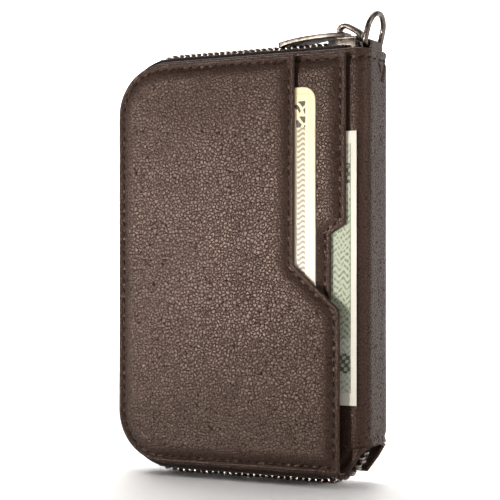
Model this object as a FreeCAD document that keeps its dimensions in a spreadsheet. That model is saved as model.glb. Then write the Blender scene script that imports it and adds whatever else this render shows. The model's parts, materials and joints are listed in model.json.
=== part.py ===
"""Zip-around leather wallet: parametric assembly of separately named subcomponents.

Construction frame (millimetres): X runs from the leather's left edge to the spine, Y runs from the
front to the back with 0 in the middle of the book, Z runs up from the leather's bottom edge.  At the
end every subcomponent is moved so that the whole object's bounding box stands centred on the origin.
"""
import math
import os

import FreeCAD
import Part
import Sketcher

DOC = FreeCAD.newDocument("wallet")
SHEET = DOC.addObject("Spreadsheet::Sheet", "Sizes")
SHEET.Label = "Sizes"
AXIS_Y = FreeCAD.Vector(0, 1, 0)


class Size:
    """A driving or derived dimension: its value and the spreadsheet expression that gives it."""

    def __init__(self, text, value):
        self.text = text
        self.value = value

    @staticmethod
    def of(other):
        """Return other as a Size, wrapping a plain number."""
        if isinstance(other, Size):
            return other
        return Size(repr(float(other)), float(other))

    def __add__(self, other):
        other = Size.of(other)
        return Size(f"({self.text} + {other.text})", self.value + other.value)

    def __sub__(self, other):
        other = Size.of(other)
        return Size(f"({self.text} - {other.text})", self.value - other.value)

    def __mul__(self, other):
        other = Size.of(other)
        return Size(f"({self.text} * {other.text})", self.value * other.value)

    def __truediv__(self, other):
        other = Size.of(other)
        return Size(f"({self.text} / {other.text})", self.value / other.value)

    def __radd__(self, other):
        return Size.of(other) + self

    def __rsub__(self, other):
        return Size.of(other) - self

    def __neg__(self):
        return Size(f"(0 - {self.text})", -self.value)


SHEET_ROW = [0]


def named(alias, value, note):
    """Add one driving dimension to the spreadsheet and return it as a Size."""
    SHEET_ROW[0] += 1
    row = SHEET_ROW[0]
    SHEET.set(f"A{row}", alias)
    SHEET.set(f"B{row}", str(value))
    SHEET.setAlias(f"B{row}", alias)
    SHEET.set(f"C{row}", note)
    return Size(f"Sizes.{alias}", float(value))


# ---------------------------------------------------------------- driving dimensions
book_height = named("book_height", 104.0, "leather height")
book_width = named("book_width", 70.5, "leather width, left edge to the outside of the spine")
book_depth = named("book_depth", 14.0, "outside of the front cover to the outside of the back")
corner_radius = named("corner_radius", 14.0, "rounded corners on the opening side")
fold_radius = named("fold_radius", 3.0, "outside radius of the two spine folds")
cover_thickness = named("cover_thickness", 1.2, "outer leather")
board_thickness = named("board_thickness", 0.8, "stiffener between leather and lining")
lining_thickness = named("lining_thickness", 0.6, "lining")
pocket_thickness = named("pocket_thickness", 1.0, "leather of the two outer pocket panels")
panel_inset = named("panel_inset", 1.1, "cover edge left bare around the pocket panels")
seam_width = named("seam_width", 2.4, "sewn border of a pocket")
cash_gap = named("cash_gap", 0.55, "depth of the banknote pocket")
card_gap = named("card_gap", 0.95, "depth of the card pocket")
cash_mouth_upper = named("cash_mouth_upper", 4.9, "upper cut edge of the cash panel, from the spine")
cash_mouth_lower = named("cash_mouth_lower", 9.0, "lower cut edge of the cash panel, from the spine")
cash_step_top = named("cash_step_top", 61.4, "cash panel, step begins")
cash_step_bottom = named("cash_step_bottom", 59.0, "cash panel, step ends")
card_mouth_upper = named("card_mouth_upper", 17.9, "upper cut edge of the card panel, from the spine")
card_mouth_lower = named("card_mouth_lower", 5.7, "lower cut edge of the card panel, from the spine")
card_step_top = named("card_step_top", 51.5, "card panel, step begins")
card_step_bottom = named("card_step_bottom", 40.7, "card panel, step ends")
chamfer_x = named("chamfer_x", 5.8, "relief at the foot of the spine, across")
chamfer_z = named("chamfer_z", 6.5, "relief at the foot of the spine, up")
foot_inset = named("foot_inset", 13.0, "end of the straight lower run of the zip, from the spine")
foot_radius = named("foot_radius", 7.6, "turn of the zip up into the foot of the spine")
card_height = named("card_height", 85.6, "payment card, long side, standing")
card_width = named("card_width", 54.0, "payment card, short side")
card_thickness = named("card_thickness", 0.76, "payment card")
card_tuck = named("card_tuck", 0.3, "how far the card reaches back toward the rounded corners")
card_radius = named("card_radius", 3.18, "corners of the card")
note_height = named("note_height", 66.3, "short side of a banknote, standing")
note_thickness = named("note_thickness", 0.35, "folded banknotes")
note_left = named("note_left", 5.7, "hidden left edge of the notes")
note_inset = named("note_inset", 2.4, "visible right edge of the notes, from the spine")
note_bottom = named("note_bottom", 17.5, "lower edge of the notes")
zip_rise = named("zip_rise", 2.5, "top of the teeth outside the leather edge")
tape_low = named("tape_low", 0.5, "tape web, inner face outside the leather edge")
tape_thickness = named("tape_thickness", 0.6, "zip tape")
tape_depth = named("tape_depth", 5.5, "tape sewn inside the cover")
tooth_pitch = named("tooth_pitch", 1.75, "teeth of one row")
tooth_thickness = named("tooth_thickness", 0.62, "one tooth along the row")
chain_width = named("chain_width", 4.4, "both rows of teeth")
tooth_reach = named("tooth_reach", 0.5, "how far a tooth passes the middle")
chain_inset = named("chain_inset", 6.6, "last tooth at the spine end of the top run, from the spine")
slider_inset = named("slider_inset", 13.2, "opening end of the closed slider, from the spine")
slider_length = named("slider_length", 9.4, "slider along the chain")
slider_width = named("slider_width", 7.0, "slider across the chain")
slider_plate = named("slider_plate", 0.7, "plate thickness of the slider")
slider_gap = named("slider_gap", 0.2, "running clearance of the slider")
bridge_rise = named("bridge_rise", 7.0, "crown of the bridge above the leather")
bridge_width = named("bridge_width", 2.6, "bridge across")
bridge_strap = named("bridge_strap", 1.1, "bridge thickness")
pull_length = named("pull_length", 18.1, "pivot to the tip of the pull tab")
pull_width = named("pull_width", 5.4, "pull tab across")
pull_thickness = named("pull_thickness", 0.8, "pull tab")
pull_tilt = named("pull_tilt", 3.5, "slope of the resting pull tab in degrees")
pivot_inset = named("pivot_inset", 8.7, "pull pivot, from the spine")
pivot_rise = named("pivot_rise", 4.2, "pull pivot above the leather")
ring_wire = named("ring_wire", 1.4, "D-ring wire diameter")
ring_width = named("ring_width", 8.7, "D-ring wire centre to wire centre")
ring_height = named("ring_height", 8.0, "D-ring bar to crown, wire centres")
ring_lean = named("ring_lean", 13.5, "resting lean of the D-ring in degrees")
ring_rise = named("ring_rise", 1.0, "D-ring bar above the leather")
tab_width = named("tab_width", 6.6, "leather loop across")
tab_strap = named("tab_strap", 0.6, "leather loop thickness")
tab_drop = named("tab_drop", 7.0, "loop legs sewn down inside the spine")
slot_end = named("slot_end", 9.5, "inner card pockets, from the spine")
slot_inset = named("slot_inset", 9.0, "inner card pockets, from the leather edge")
slot_gap = named("slot_gap", 0.7, "inner card pocket depth")
slot_thickness = named("slot_thickness", 0.8, "inner card pocket material")

# ---------------------------------------------------------------- places that follow other sizes
cash_edge_upper = book_width - cash_mouth_upper
cash_edge_lower = book_width - cash_mouth_lower
card_edge_upper = book_width - card_mouth_upper
card_edge_lower = book_width - card_mouth_lower
foot_x = book_width - foot_inset
note_right = book_width - note_inset
note_width = note_right - note_left
chain_end = book_width - chain_inset
slider_left = book_width - slider_inset
pivot_x = book_width - pivot_inset
slot_width = book_width - slot_inset - slot_end
CARD_CLEARANCE = 0.3
card_left = corner_radius * CARD_CLEARANCE - card_tuck
LOOP_ROOM = 0.2
loop_hole = ring_wire / 2 + LOOP_ROOM
loop_outer = loop_hole + tab_strap
loop_x = book_width - cover_thickness - tab_strap
DOC.recompute()

ZERO = Size("0.0", 0.0)
CUT_PAST = Size("1.0", 1.0)
HALF_DEPTH = book_depth / 2
FOLD_LINE = book_width - fold_radius


# ---------------------------------------------------------------- sketch and body helpers
def body(label):
    """Make an empty body whose label names the exported subcomponent."""
    made = DOC.addObject("PartDesign::Body", label)
    made.Label = label
    return made


def plane_of(owner, role):
    """Return one of the body's own origin planes."""
    for feature in owner.Origin.OriginFeatures:
        if feature.Role == role:
            return feature
    raise RuntimeError(f"no {role} in {owner.Label}")


def pin_point(sketch, geometry, position, across, up):
    """Fix a sketch point by two signed distances from the sketch origin, bound to the sheet."""
    for kind, size in (("DistanceX", across), ("DistanceY", up)):
        index = sketch.addConstraint(
            Sketcher.Constraint(kind, -1, 1, geometry, position, size.value)
        )
        sketch.setExpression(f"Constraints[{index}]", size.text)


def outline(owner, role, name, points, offset=ZERO):
    """Draw a closed outline of lines and arcs on a body plane.

    Each point is (across, up) or (across, up, radius, turn): with a radius, an arc of that radius leads
    to the next point, turning left for turn +1 and right for turn -1.
    """
    sketch = owner.newObject("Sketcher::SketchObject", name)
    sketch.AttachmentSupport = [(plane_of(owner, role), "")]
    sketch.MapMode = "FlatFace"
    sketch.setExpression("AttachmentOffset.Base.z", offset.text)
    count = len(points)
    segments = []
    for index, point in enumerate(points):
        following = points[(index + 1) % count]
        start = FreeCAD.Vector(point[0].value, point[1].value, 0)
        end = FreeCAD.Vector(following[0].value, following[1].value, 0)
        if len(point) == 2:
            segments.append((sketch.addGeometry(Part.LineSegment(start, end)), 1, 2))
            continue
        radius = point[2].value
        turn = point[3]
        chord = end - start
        middle = (start + end) * 0.5
        height = math.sqrt(max(radius * radius - chord.Length * chord.Length / 4, 0.0))
        side = FreeCAD.Vector(-chord.y, chord.x, 0).normalize() * height * turn
        centre = middle + side
        first = math.atan2(start.y - centre.y, start.x - centre.x)
        last = math.atan2(end.y - centre.y, end.x - centre.x)
        circle = Part.Circle(centre, FreeCAD.Vector(0, 0, 1), radius)
        if turn > 0:
            arc = sketch.addGeometry(Part.ArcOfCircle(circle, first, last))
            segments.append((arc, 1, 2))
        else:
            arc = sketch.addGeometry(Part.ArcOfCircle(circle, last, first))
            segments.append((arc, 2, 1))
        held = sketch.addConstraint(Sketcher.Constraint("Radius", arc, radius))
        sketch.setExpression(f"Constraints[{held}]", point[2].text)
    for index, point in enumerate(points):
        geometry, begin, _ = segments[index]
        before, _, finish = segments[index - 1]
        sketch.addConstraint(Sketcher.Constraint("Coincident", before, finish, geometry, begin))
        pin_point(sketch, geometry, begin, point[0], point[1])
    return sketch


def pad(owner, sketch, length, name):
    """Extrude a sketch along its own normal."""
    made = owner.newObject("PartDesign::Pad", name)
    made.Profile = sketch
    made.setExpression("Length", length.text)
    return made


def plate(owner, name, points, y_low, y_high):
    """Add a plate with an XZ outline between two Y values (the XZ plane's normal is -Y)."""
    sketch = outline(owner, "XZ_Plane", f"{name}_outline", points, -y_high)
    return pad(owner, sketch, y_high - y_low, name)


# ---------------------------------------------------------------- outlines
RELIEF_SPREAD = 0.4


def leaf_outline(inset, right, foot):
    """Outline of one leaf: rounded on the opening side, relieved at the foot of the spine.

    inset pulls the outline in from the leather edge, right is its straight spine-side edge and foot is
    True when the corner relief is wanted.
    """
    radius = corner_radius - inset
    top = book_height - inset
    points = [
        (right, top),
        (corner_radius, top, radius, 1),
        (inset, book_height - corner_radius),
        (inset, corner_radius, radius, 1),
        (corner_radius, inset),
    ]
    if foot:
        slope = chamfer_z / chamfer_x
        low_x = book_width - chamfer_x + inset * RELIEF_SPREAD
        points.append((low_x - inset, inset))
        points.append((right, inset + slope * (right - low_x + inset)))
    else:
        points.append((right, inset))
    return points


FOOT_TURN = 80.0


def foot_point(offset, turn=FOOT_TURN):
    """Point of the foot bend at an offset from the leather edge, turned up by some degrees."""
    swing = math.radians(turn - 90.0)
    reach = foot_radius + offset
    return (foot_x + reach * math.cos(swing), foot_radius + reach * math.sin(swing))


def band_outline(n_low, n_high, top_end):
    """Outline of a band that follows the zip path between two offsets from the leather edge.

    The path runs along the top, round both corners of the opening side, along the bottom and up
    into the foot of the spine.
    """
    outer = corner_radius + n_high
    inner = corner_radius + n_low
    foot_outer = foot_point(n_high)
    foot_inner = foot_point(n_low)
    return [
        (top_end, book_height + n_high),
        (corner_radius, book_height + n_high, outer, 1),
        (-n_high, book_height - corner_radius),
        (-n_high, corner_radius, outer, 1),
        (corner_radius, -n_high),
        (foot_x, -n_high, foot_radius + n_high, 1),
        foot_outer,
        (foot_inner[0], foot_inner[1], foot_radius + n_low, -1),
        (foot_x, -n_low),
        (corner_radius, -n_low, inner, -1),
        (-n_low, corner_radius),
        (-n_low, book_height - corner_radius, inner, -1),
        (corner_radius, book_height + n_low),
        (top_end, book_height + n_low),
    ]


def rectangle(x_low, x_high, z_low, z_high):
    """Plain rectangular outline."""
    return [(x_low, z_low), (x_high, z_low), (x_high, z_high), (x_low, z_high)]


def rounded(x_low, x_high, z_low, z_high, radius):
    """Rectangle with four rounded corners."""
    return [
        (x_low + radius, z_low),
        (x_high - radius, z_low, radius, 1),
        (x_high, z_low + radius),
        (x_high, z_high - radius, radius, 1),
        (x_high - radius, z_high),
        (x_low + radius, z_high, radius, 1),
        (x_low, z_high - radius),
        (x_low, z_low + radius, radius, 1),
    ]


# ---------------------------------------------------------------- the two leaves
COVER_IN = HALF_DEPTH - cover_thickness
BOARD_IN = COVER_IN - board_thickness
LINING_IN = BOARD_IN - lining_thickness
TAPE_IN = LINING_IN - tape_thickness
BOARD_EDGE = 3.0
BOARD_SHORT = 2.0
LINING_EDGE = 0.5
FOLD_ROOM = 0.4
LEAF_END = FOLD_LINE - FOLD_ROOM
TAPE_GAP = 0.1
TAPE_END = loop_x - loop_outer - TAPE_GAP
RIM_WIDTH = 2.0
WEB_UNDER_TEETH = 0.7


def leaf(side, suffix):
    """Build the cover, stiffener, lining, inner pocket and zip tape of one leaf.

    side is -1 for the front leaf and +1 for the back leaf.
    """
    def span(near, far):
        """Order two distances from the middle plane as a Y interval on this side."""
        if side < 0:
            return (-far, -near)
        return (near, far)

    made = []
    cover = body(f"cover_{suffix}")
    plate(cover, "Leather", leaf_outline(ZERO, FOLD_LINE, True), *span(COVER_IN, HALF_DEPTH))
    made.append(cover)
    board = body(f"board_{suffix}")
    inner = leaf_outline(Size.of(BOARD_EDGE), FOLD_LINE - BOARD_SHORT, True)
    plate(board, "Board", inner, *span(BOARD_IN, COVER_IN))
    made.append(board)
    lining = body(f"lining_{suffix}")
    inner = leaf_outline(Size.of(LINING_EDGE), LEAF_END, True)
    plate(lining, "Lining", inner, *span(LINING_IN, BOARD_IN))
    made.append(lining)
    pocket = body(f"inner_pocket_{suffix}")
    low = slot_inset
    high = book_height - slot_inset
    right = slot_inset + slot_width
    face = LINING_IN - slot_gap
    outer = rectangle(slot_inset, right, low, high)
    plate(pocket, "Panel", outer, *span(face - slot_thickness, face))
    rim = [
        (slot_inset, low),
        (right, low),
        (right, low + RIM_WIDTH),
        (slot_inset + RIM_WIDTH, low + RIM_WIDTH),
        (slot_inset + RIM_WIDTH, high - RIM_WIDTH),
        (right, high - RIM_WIDTH),
        (right, high),
        (slot_inset, high),
    ]
    plate(pocket, "Seam", rim, *span(face, LINING_IN))
    made.append(pocket)
    tape = body(f"zip_tape_{suffix}")
    web = band_outline(tape_low, tape_low + tape_thickness, TAPE_END)
    plate(tape, "Web", web, *span(chain_width / 2 - WEB_UNDER_TEETH, LINING_IN))
    leg = band_outline(-tape_depth, tape_low + tape_thickness, TAPE_END)
    plate(tape, "Leg", leg, *span(TAPE_IN, LINING_IN))
    made.append(tape)
    return made


BODIES = []
BODIES += leaf(-1, "front")
BODIES += leaf(1, "back")

# ---------------------------------------------------------------- spine with its two folds
spine = body("cover_spine")
inner_fold = fold_radius - cover_thickness
profile = [
    (FOLD_LINE, -HALF_DEPTH, fold_radius, 1),
    (book_width, -(HALF_DEPTH - fold_radius)),
    (book_width, HALF_DEPTH - fold_radius, fold_radius, 1),
    (FOLD_LINE, HALF_DEPTH),
    (FOLD_LINE, COVER_IN, inner_fold, -1),
    (book_width - cover_thickness, HALF_DEPTH - fold_radius),
    (book_width - cover_thickness, -(HALF_DEPTH - fold_radius), inner_fold, -1),
    (FOLD_LINE, -COVER_IN),
]
spine_sketch = outline(spine, "XY_Plane", "Wrap_outline", profile, chamfer_z)
pad(spine, spine_sketch, book_height - chamfer_z, "Wrap")
BODIES.append(spine)

lining_spine = body("lining_spine")
strip_half = HALF_DEPTH - fold_radius
strip = [
    (book_width - cover_thickness - lining_thickness, -strip_half),
    (book_width - cover_thickness, -strip_half),
    (book_width - cover_thickness, strip_half),
    (book_width - cover_thickness - lining_thickness, strip_half),
]
STRIP_FOOT = 0.6
STRIP_HEAD = 1.0
strip_sketch = outline(lining_spine, "XY_Plane", "Strip_outline", strip, chamfer_z + STRIP_FOOT)
strip_length = book_height - chamfer_z - STRIP_FOOT - tab_drop - STRIP_HEAD
pad(lining_spine, strip_sketch, strip_length, "Strip")
BODIES.append(lining_spine)

# ---------------------------------------------------------------- outer pockets on the front
CASH_BACK = HALF_DEPTH + cash_gap
CASH_FRONT = CASH_BACK + pocket_thickness
CARD_BACK = CASH_FRONT + card_gap
CARD_FRONT = CARD_BACK + pocket_thickness


def pocket_panel(label, top_edge, low_edge, step_top, step_bottom, near, face, rear):
    """Build one outer pocket: a panel with a stepped cut edge and its sewn border behind it.

    near is the back face of the panel, face its front and rear the layer the border is sewn to, all as
    distances in front of the middle plane.
    """
    owner = body(label)
    radius = corner_radius - panel_inset
    top = book_height - panel_inset
    shape = [
        (top_edge, top),
        (corner_radius, top, radius, 1),
        (panel_inset, book_height - corner_radius),
        (panel_inset, corner_radius, radius, 1),
        (corner_radius, panel_inset),
        (low_edge, panel_inset),
        (low_edge, step_bottom),
        (top_edge, step_top),
    ]
    plate(owner, "Panel", shape, -face, -near)
    inset = panel_inset + seam_width
    inner = corner_radius - inset
    border = [
        (top_edge, top),
        (corner_radius, top, radius, 1),
        (panel_inset, book_height - corner_radius),
        (panel_inset, corner_radius, radius, 1),
        (corner_radius, panel_inset),
        (low_edge, panel_inset),
        (low_edge, inset),
        (corner_radius, inset, inner, -1),
        (inset, corner_radius),
        (inset, book_height - corner_radius, inner, -1),
        (corner_radius, book_height - inset),
        (top_edge, book_height - inset),
    ]
    plate(owner, "Border", border, -near, -rear)
    return owner


BODIES.append(pocket_panel("cash_pocket_panel", cash_edge_upper, cash_edge_lower, cash_step_top,
                           cash_step_bottom, CASH_BACK, CASH_FRONT, HALF_DEPTH))
BODIES.append(pocket_panel("card_pocket_panel", card_edge_upper, card_edge_lower, card_step_top,
                           card_step_bottom, CARD_BACK, CARD_FRONT, CASH_FRONT))

card = body("card")
card_low = (book_height - card_height) / 2
card_y = CASH_FRONT + (card_gap - card_thickness) / 2
plate(card, "Card", rounded(card_left, card_left + card_width, card_low, card_low + card_height,
                            card_radius), -(card_y + card_thickness), -card_y)
BODIES.append(card)

notes = body("banknotes")
note_y = HALF_DEPTH + (cash_gap - note_thickness) / 2
plate(notes, "Fold", rectangle(note_right - note_width, note_right, note_bottom,
                               note_bottom + note_height), -(note_y + note_thickness), -note_y)
BODIES.append(notes)

# ---------------------------------------------------------------- slider and bridge
slider = body("slider_body")
slider_right = slider_left + slider_length
slider_half = slider_width / 2
TOP_LOW = zip_rise + slider_gap
TOP_HIGH = TOP_LOW + slider_plate
INNER_HIGH = tape_low - slider_gap
INNER_LOW = INNER_HIGH - slider_plate
FLANGE_LOW = tape_low + tape_thickness + slider_gap
FLANGE_ROOM = 0.4
FLANGE_IN = chain_width / 2 + FLANGE_ROOM
plate(slider, "Outer_plate", rectangle(slider_left, slider_right, book_height + TOP_LOW,
                                       book_height + TOP_HIGH), -slider_half, slider_half)
for edge, low, high in (("Front", -slider_half, -FLANGE_IN), ("Back", FLANGE_IN, slider_half)):
    plate(slider, f"{edge}_flange", rectangle(slider_left, slider_right, book_height + FLANGE_LOW,
                                              book_height + TOP_LOW), low, high)
POST_ROOM = 0.3
POST_WIDTH = 0.5
POST_NEAR = tooth_reach + POST_ROOM
POST_FAR = POST_NEAR + POST_WIDTH
post_left = chain_end + tooth_thickness / 2 + slider_gap
STOP_ROOM = 1.1
plate(slider, "Post", rectangle(post_left, slider_right - STOP_ROOM, book_height + INNER_HIGH,
                                book_height + TOP_LOW), -POST_FAR, -POST_NEAR)
TAPE_ROOM = 0.4
INNER_HALF = TAPE_IN - TAPE_ROOM
NOSE_STEP = 0.6
plate(slider, "Inner_plate", rectangle(slider_left + NOSE_STEP, slider_right, book_height + INNER_LOW,
                                       book_height + INNER_HIGH), -INNER_HALF, INNER_HALF)
BODIES.append(slider)

bridge = body("slider_bridge")
BRIDGE_NOSE = 2.2
BRIDGE_TAIL = 0.1
CROWN_RADIUS = Size.of(2.0)
HOOK_RADIUS = Size.of(1.0)
CROWN_FLAT = 1.0
INNER_FLAT = 0.6
FOOT_HEIGHT = 1.5
INNER_FOOT = 0.9
bridge_left = slider_left + BRIDGE_NOSE
bridge_right = slider_right - BRIDGE_TAIL
bridge_base = book_height + TOP_HIGH
bridge_top = book_height + bridge_rise
strap = bridge_strap
arch = [
    (bridge_left, bridge_base),
    (bridge_left + strap, bridge_base),
    (bridge_left + strap, bridge_top - strap - HOOK_RADIUS, HOOK_RADIUS, -1),
    (bridge_left + strap + HOOK_RADIUS, bridge_top - strap),
    (bridge_left + strap + HOOK_RADIUS + INNER_FLAT, bridge_top - strap),
    (bridge_right - strap, bridge_base + INNER_FOOT),
    (bridge_right - strap, bridge_base),
    (bridge_right, bridge_base),
    (bridge_right, bridge_base + FOOT_HEIGHT),
    (bridge_left + CROWN_RADIUS + CROWN_FLAT, bridge_top),
    (bridge_left + CROWN_RADIUS, bridge_top, CROWN_RADIUS, 1),
    (bridge_left, bridge_top - CROWN_RADIUS),
]
plate(bridge, "Arch", arch, -(bridge_width / 2), bridge_width / 2)
BODIES.append(bridge)

# ---------------------------------------------------------------- pull tab, drawn level at its pivot
pull = body("pull_tab")
half_tab = pull_width / 2
EYE_ROOM = 0.35
EYE_RIM = 0.75
TIP_RADIUS = Size.of(2.0)
SHOULDER = 2.0
eye_half = bridge_width / 2 + EYE_ROOM
eye_outer = eye_half + EYE_RIM
pin_half = pull_thickness / 2
eye_length = Size.of(4.4)
sketch = outline(pull, "XY_Plane", "Tab_outline", [
    (pin_half, -eye_outer),
    (pin_half, eye_outer),
    (-eye_length, eye_outer),
    (-(eye_length + SHOULDER), half_tab),
    (-(pull_length - TIP_RADIUS), half_tab, TIP_RADIUS, 1),
    (-pull_length, half_tab - TIP_RADIUS),
    (-pull_length, -(half_tab - TIP_RADIUS), TIP_RADIUS, 1),
    (-(pull_length - TIP_RADIUS), -half_tab),
    (-(eye_length + SHOULDER), -half_tab),
    (-eye_length, -eye_outer),
], -pin_half)
pad(pull, sketch, pull_thickness, "Tab")
eye = outline(pull, "XY_Plane", "Eye_outline", [
    (-pin_half, -eye_half),
    (-pin_half, eye_half),
    (-eye_length, eye_half),
    (-eye_length, -eye_half),
], -(pin_half + CUT_PAST))
eye_cut = pull.newObject("PartDesign::Pocket", "Eye")
eye_cut.Profile = eye
eye_cut.Reversed = True
eye_cut.setExpression("Length", (pull_thickness + CUT_PAST * 2).text)
BODIES.append(pull)

# ---------------------------------------------------------------- leather loop for the D-ring
ring_tab = body("ring_tab")
LOOP_SHOULDER = 1.0
LOOP_LIFT = 0.05
loop_z = book_height + ring_rise
loop_half = tab_width / 2
plate(ring_tab, "Loop", [
    (loop_x - loop_outer, loop_z),
    (loop_x - tab_strap, book_height - LOOP_SHOULDER),
    (loop_x - tab_strap, book_height - tab_drop),
    (loop_x + tab_strap, book_height - tab_drop),
    (loop_x + tab_strap, book_height - LOOP_SHOULDER),
    (loop_x + tab_strap, book_height + LOOP_LIFT),
    (loop_x + loop_outer, loop_z, loop_outer, 1),
    (loop_x, loop_z + loop_outer, loop_outer, 1),
], -loop_half, loop_half)
hole_sketch = ring_tab.newObject("Sketcher::SketchObject", "Bar_hole_outline")
hole_sketch.AttachmentSupport = [(plane_of(ring_tab, "XZ_Plane"), "")]
hole_sketch.MapMode = "FlatFace"
hole_sketch.setExpression("AttachmentOffset.Base.z", (-(loop_half + CUT_PAST)).text)
hole_circle = hole_sketch.addGeometry(Part.Circle(
    FreeCAD.Vector(loop_x.value, loop_z.value, 0), FreeCAD.Vector(0, 0, 1), loop_hole.value))
hole_radius = hole_sketch.addConstraint(Sketcher.Constraint("Radius", hole_circle, loop_hole.value))
hole_sketch.setExpression(f"Constraints[{hole_radius}]", loop_hole.text)
pin_point(hole_sketch, hole_circle, 3, loop_x, loop_z)
bar_hole = ring_tab.newObject("PartDesign::Pocket", "Bar_hole")
bar_hole.Profile = hole_sketch
bar_hole.Reversed = True
bar_hole.setExpression("Length", (tab_width + CUT_PAST * 2).text)
BODIES.append(ring_tab)

DOC.recompute()


# ---------------------------------------------------------------- teeth, stops and ring as solids
def feature(label, shape):
    """Add a solid that is computed from the named sizes."""
    made = DOC.addObject("Part::Feature", label)
    made.Label = label
    made.Shape = shape
    return made


TOOTH_MARGIN = 4.0


def path_station(distance):
    """Return the point and outward angle on the leather edge at a distance along the zip path."""
    height = book_height.value
    radius = corner_radius.value
    top_run = chain_end.value - radius
    quarter = radius * math.pi / 2
    side_run = height - 2 * radius
    if distance < top_run:
        return (chain_end.value - distance, height, 90.0)
    distance -= top_run
    if distance < quarter:
        angle = 90.0 + math.degrees(distance / radius)
        swing = math.radians(angle)
        return (radius + radius * math.cos(swing), height - radius + radius * math.sin(swing), angle)
    distance -= quarter
    if distance < side_run:
        return (0.0, height - radius - distance, 180.0)
    distance -= side_run
    if distance < quarter:
        angle = 180.0 + math.degrees(distance / radius)
        swing = math.radians(angle)
        return (radius + radius * math.cos(swing), radius + radius * math.sin(swing), angle)
    distance -= quarter
    foot_run = foot_x.value - radius
    if distance < foot_run:
        return (radius + distance, 0.0, 270.0)
    turn = math.degrees((distance - foot_run) / foot_radius.value)
    across, up = foot_point(ZERO, turn)
    return (across.value, up.value, 270.0 + turn)


def path_length():
    """Length of the toothed path along the leather edge."""
    radius = corner_radius.value
    straight = (chain_end.value - radius) + (book_height.value - 2 * radius)
    foot = foot_x.value - radius + foot_radius.value * math.radians(FOOT_TURN - TOOTH_MARGIN)
    return straight + foot + radius * math.pi


def solid_band(n_low, n_high, y_low, y_high, top_end):
    """Solid strip along the zip path, between two offsets and two Y values."""
    points = band_outline(Size.of(n_low), Size.of(n_high), Size.of(top_end))
    edges = []
    for index, point in enumerate(points):
        following = points[(index + 1) % len(points)]
        start = FreeCAD.Vector(point[0].value, y_low, point[1].value)
        end = FreeCAD.Vector(following[0].value, y_low, following[1].value)
        if len(point) == 2:
            edges.append(Part.LineSegment(start, end).toShape())
            continue
        radius = point[2].value
        chord = end - start
        side = FreeCAD.Vector(-chord.z, 0, chord.x).normalize()
        sag = radius - math.sqrt(radius * radius - chord.Length * chord.Length / 4)
        crown = (start + end) * 0.5 - side * sag * point[3]
        edges.append(Part.Arc(start, crown, end).toShape())
    face = Part.Face(Part.Wire(edges))
    return face.extrude(FreeCAD.Vector(0, y_high - y_low, 0))


FRONT_ROW_GAP = 0.9
BEAD_BELOW_TOP = 0.4
ROOT_INSET = 0.15
ROOT_LIFT = 0.05
HEAD_RUN_ANGLE = 100


def teeth_row(side, label):
    """One row of teeth on its bead: side is -1 for the front row and +1 for the back row.

    The front row stops short of the closed slider, because it swings out sideways past the slider's
    flange when the leaves open.
    """
    bead_low = tape_low.value + tape_thickness.value
    bead_high = zip_rise.value - BEAD_BELOW_TOP
    half_chain = chain_width.value / 2
    bead_in = half_chain - WEB_UNDER_TEETH
    span = (-half_chain, -bead_in) if side < 0 else (bead_in, half_chain)
    end_top = chain_end.value + tooth_thickness.value / 2
    if side < 0:
        end_top = slider_left.value - FRONT_ROW_GAP
    bead = solid_band(bead_low, bead_high, span[0], span[1], end_top)
    root = half_chain - ROOT_INSET
    reach = (-root, tooth_reach.value) if side < 0 else (-tooth_reach.value, root)
    length = path_length()
    count = int(length / tooth_pitch.value)
    pitch = length / count
    start = 0.0 if side < 0 else pitch / 2
    teeth = []
    for index in range(count):
        across, up, angle = path_station(start + index * pitch)
        if angle < HEAD_RUN_ANGLE and across + tooth_thickness.value / 2 > end_top:
            continue
        tooth = Part.makeBox(zip_rise.value - bead_low - ROOT_LIFT, reach[1] - reach[0],
                             tooth_thickness.value)
        tooth.translate(FreeCAD.Vector(bead_low + ROOT_LIFT, reach[0], -tooth_thickness.value / 2))
        tooth.rotate(FreeCAD.Vector(0, 0, 0), AXIS_Y, -angle)
        tooth.translate(FreeCAD.Vector(across, 0, up))
        teeth.append(tooth)
    row = bead.multiFuse(teeth)
    if len(row.Solids) == 1:
        row = row.Solids[0]
    return feature(label, row)


STOP_WIDTH = 1.2


def stop_block(label, side, x_low, x_high, z_low, z_high):
    """Crimped end stop of one row."""
    far = chain_width.value / 2
    near = far - STOP_WIDTH
    low = -far if side < 0 else near
    block = Part.makeBox(x_high - x_low, far - near, z_high - z_low,
                         FreeCAD.Vector(x_low, low, z_low))
    return feature(label, block)


BODIES.append(teeth_row(-1, "zip_teeth_front"))
BODIES.append(teeth_row(1, "zip_teeth_back"))
STOP_LENGTH = 0.7
STOP_INSET = 0.2
STOP_HEIGHT = 1.0
CLASP_LENGTH = 1.0
CLASP_HEIGHT = 1.4
CLASP_BACK = 0.9
CLASP_LIFT = 0.3
stop_right = slider_right.value - STOP_INSET
stop_low = book_height.value + tape_low.value + tape_thickness.value
for mark, tag in ((-1, "front"), (1, "back")):
    BODIES.append(stop_block(f"top_stop_{tag}", mark, stop_right - STOP_LENGTH, stop_right,
                             stop_low, stop_low + STOP_HEIGHT))
foot_end_x, foot_end_z = foot_point(tape_low + tape_thickness)
clasp = Part.makeBox(CLASP_LENGTH, chain_width.value, CLASP_HEIGHT, FreeCAD.Vector(
    foot_end_x.value - CLASP_BACK, -chain_width.value / 2, foot_end_z.value + CLASP_LIFT))
BODIES.append(feature("zip_bottom_stop", clasp))


RING_CORNER = 1.2


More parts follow.
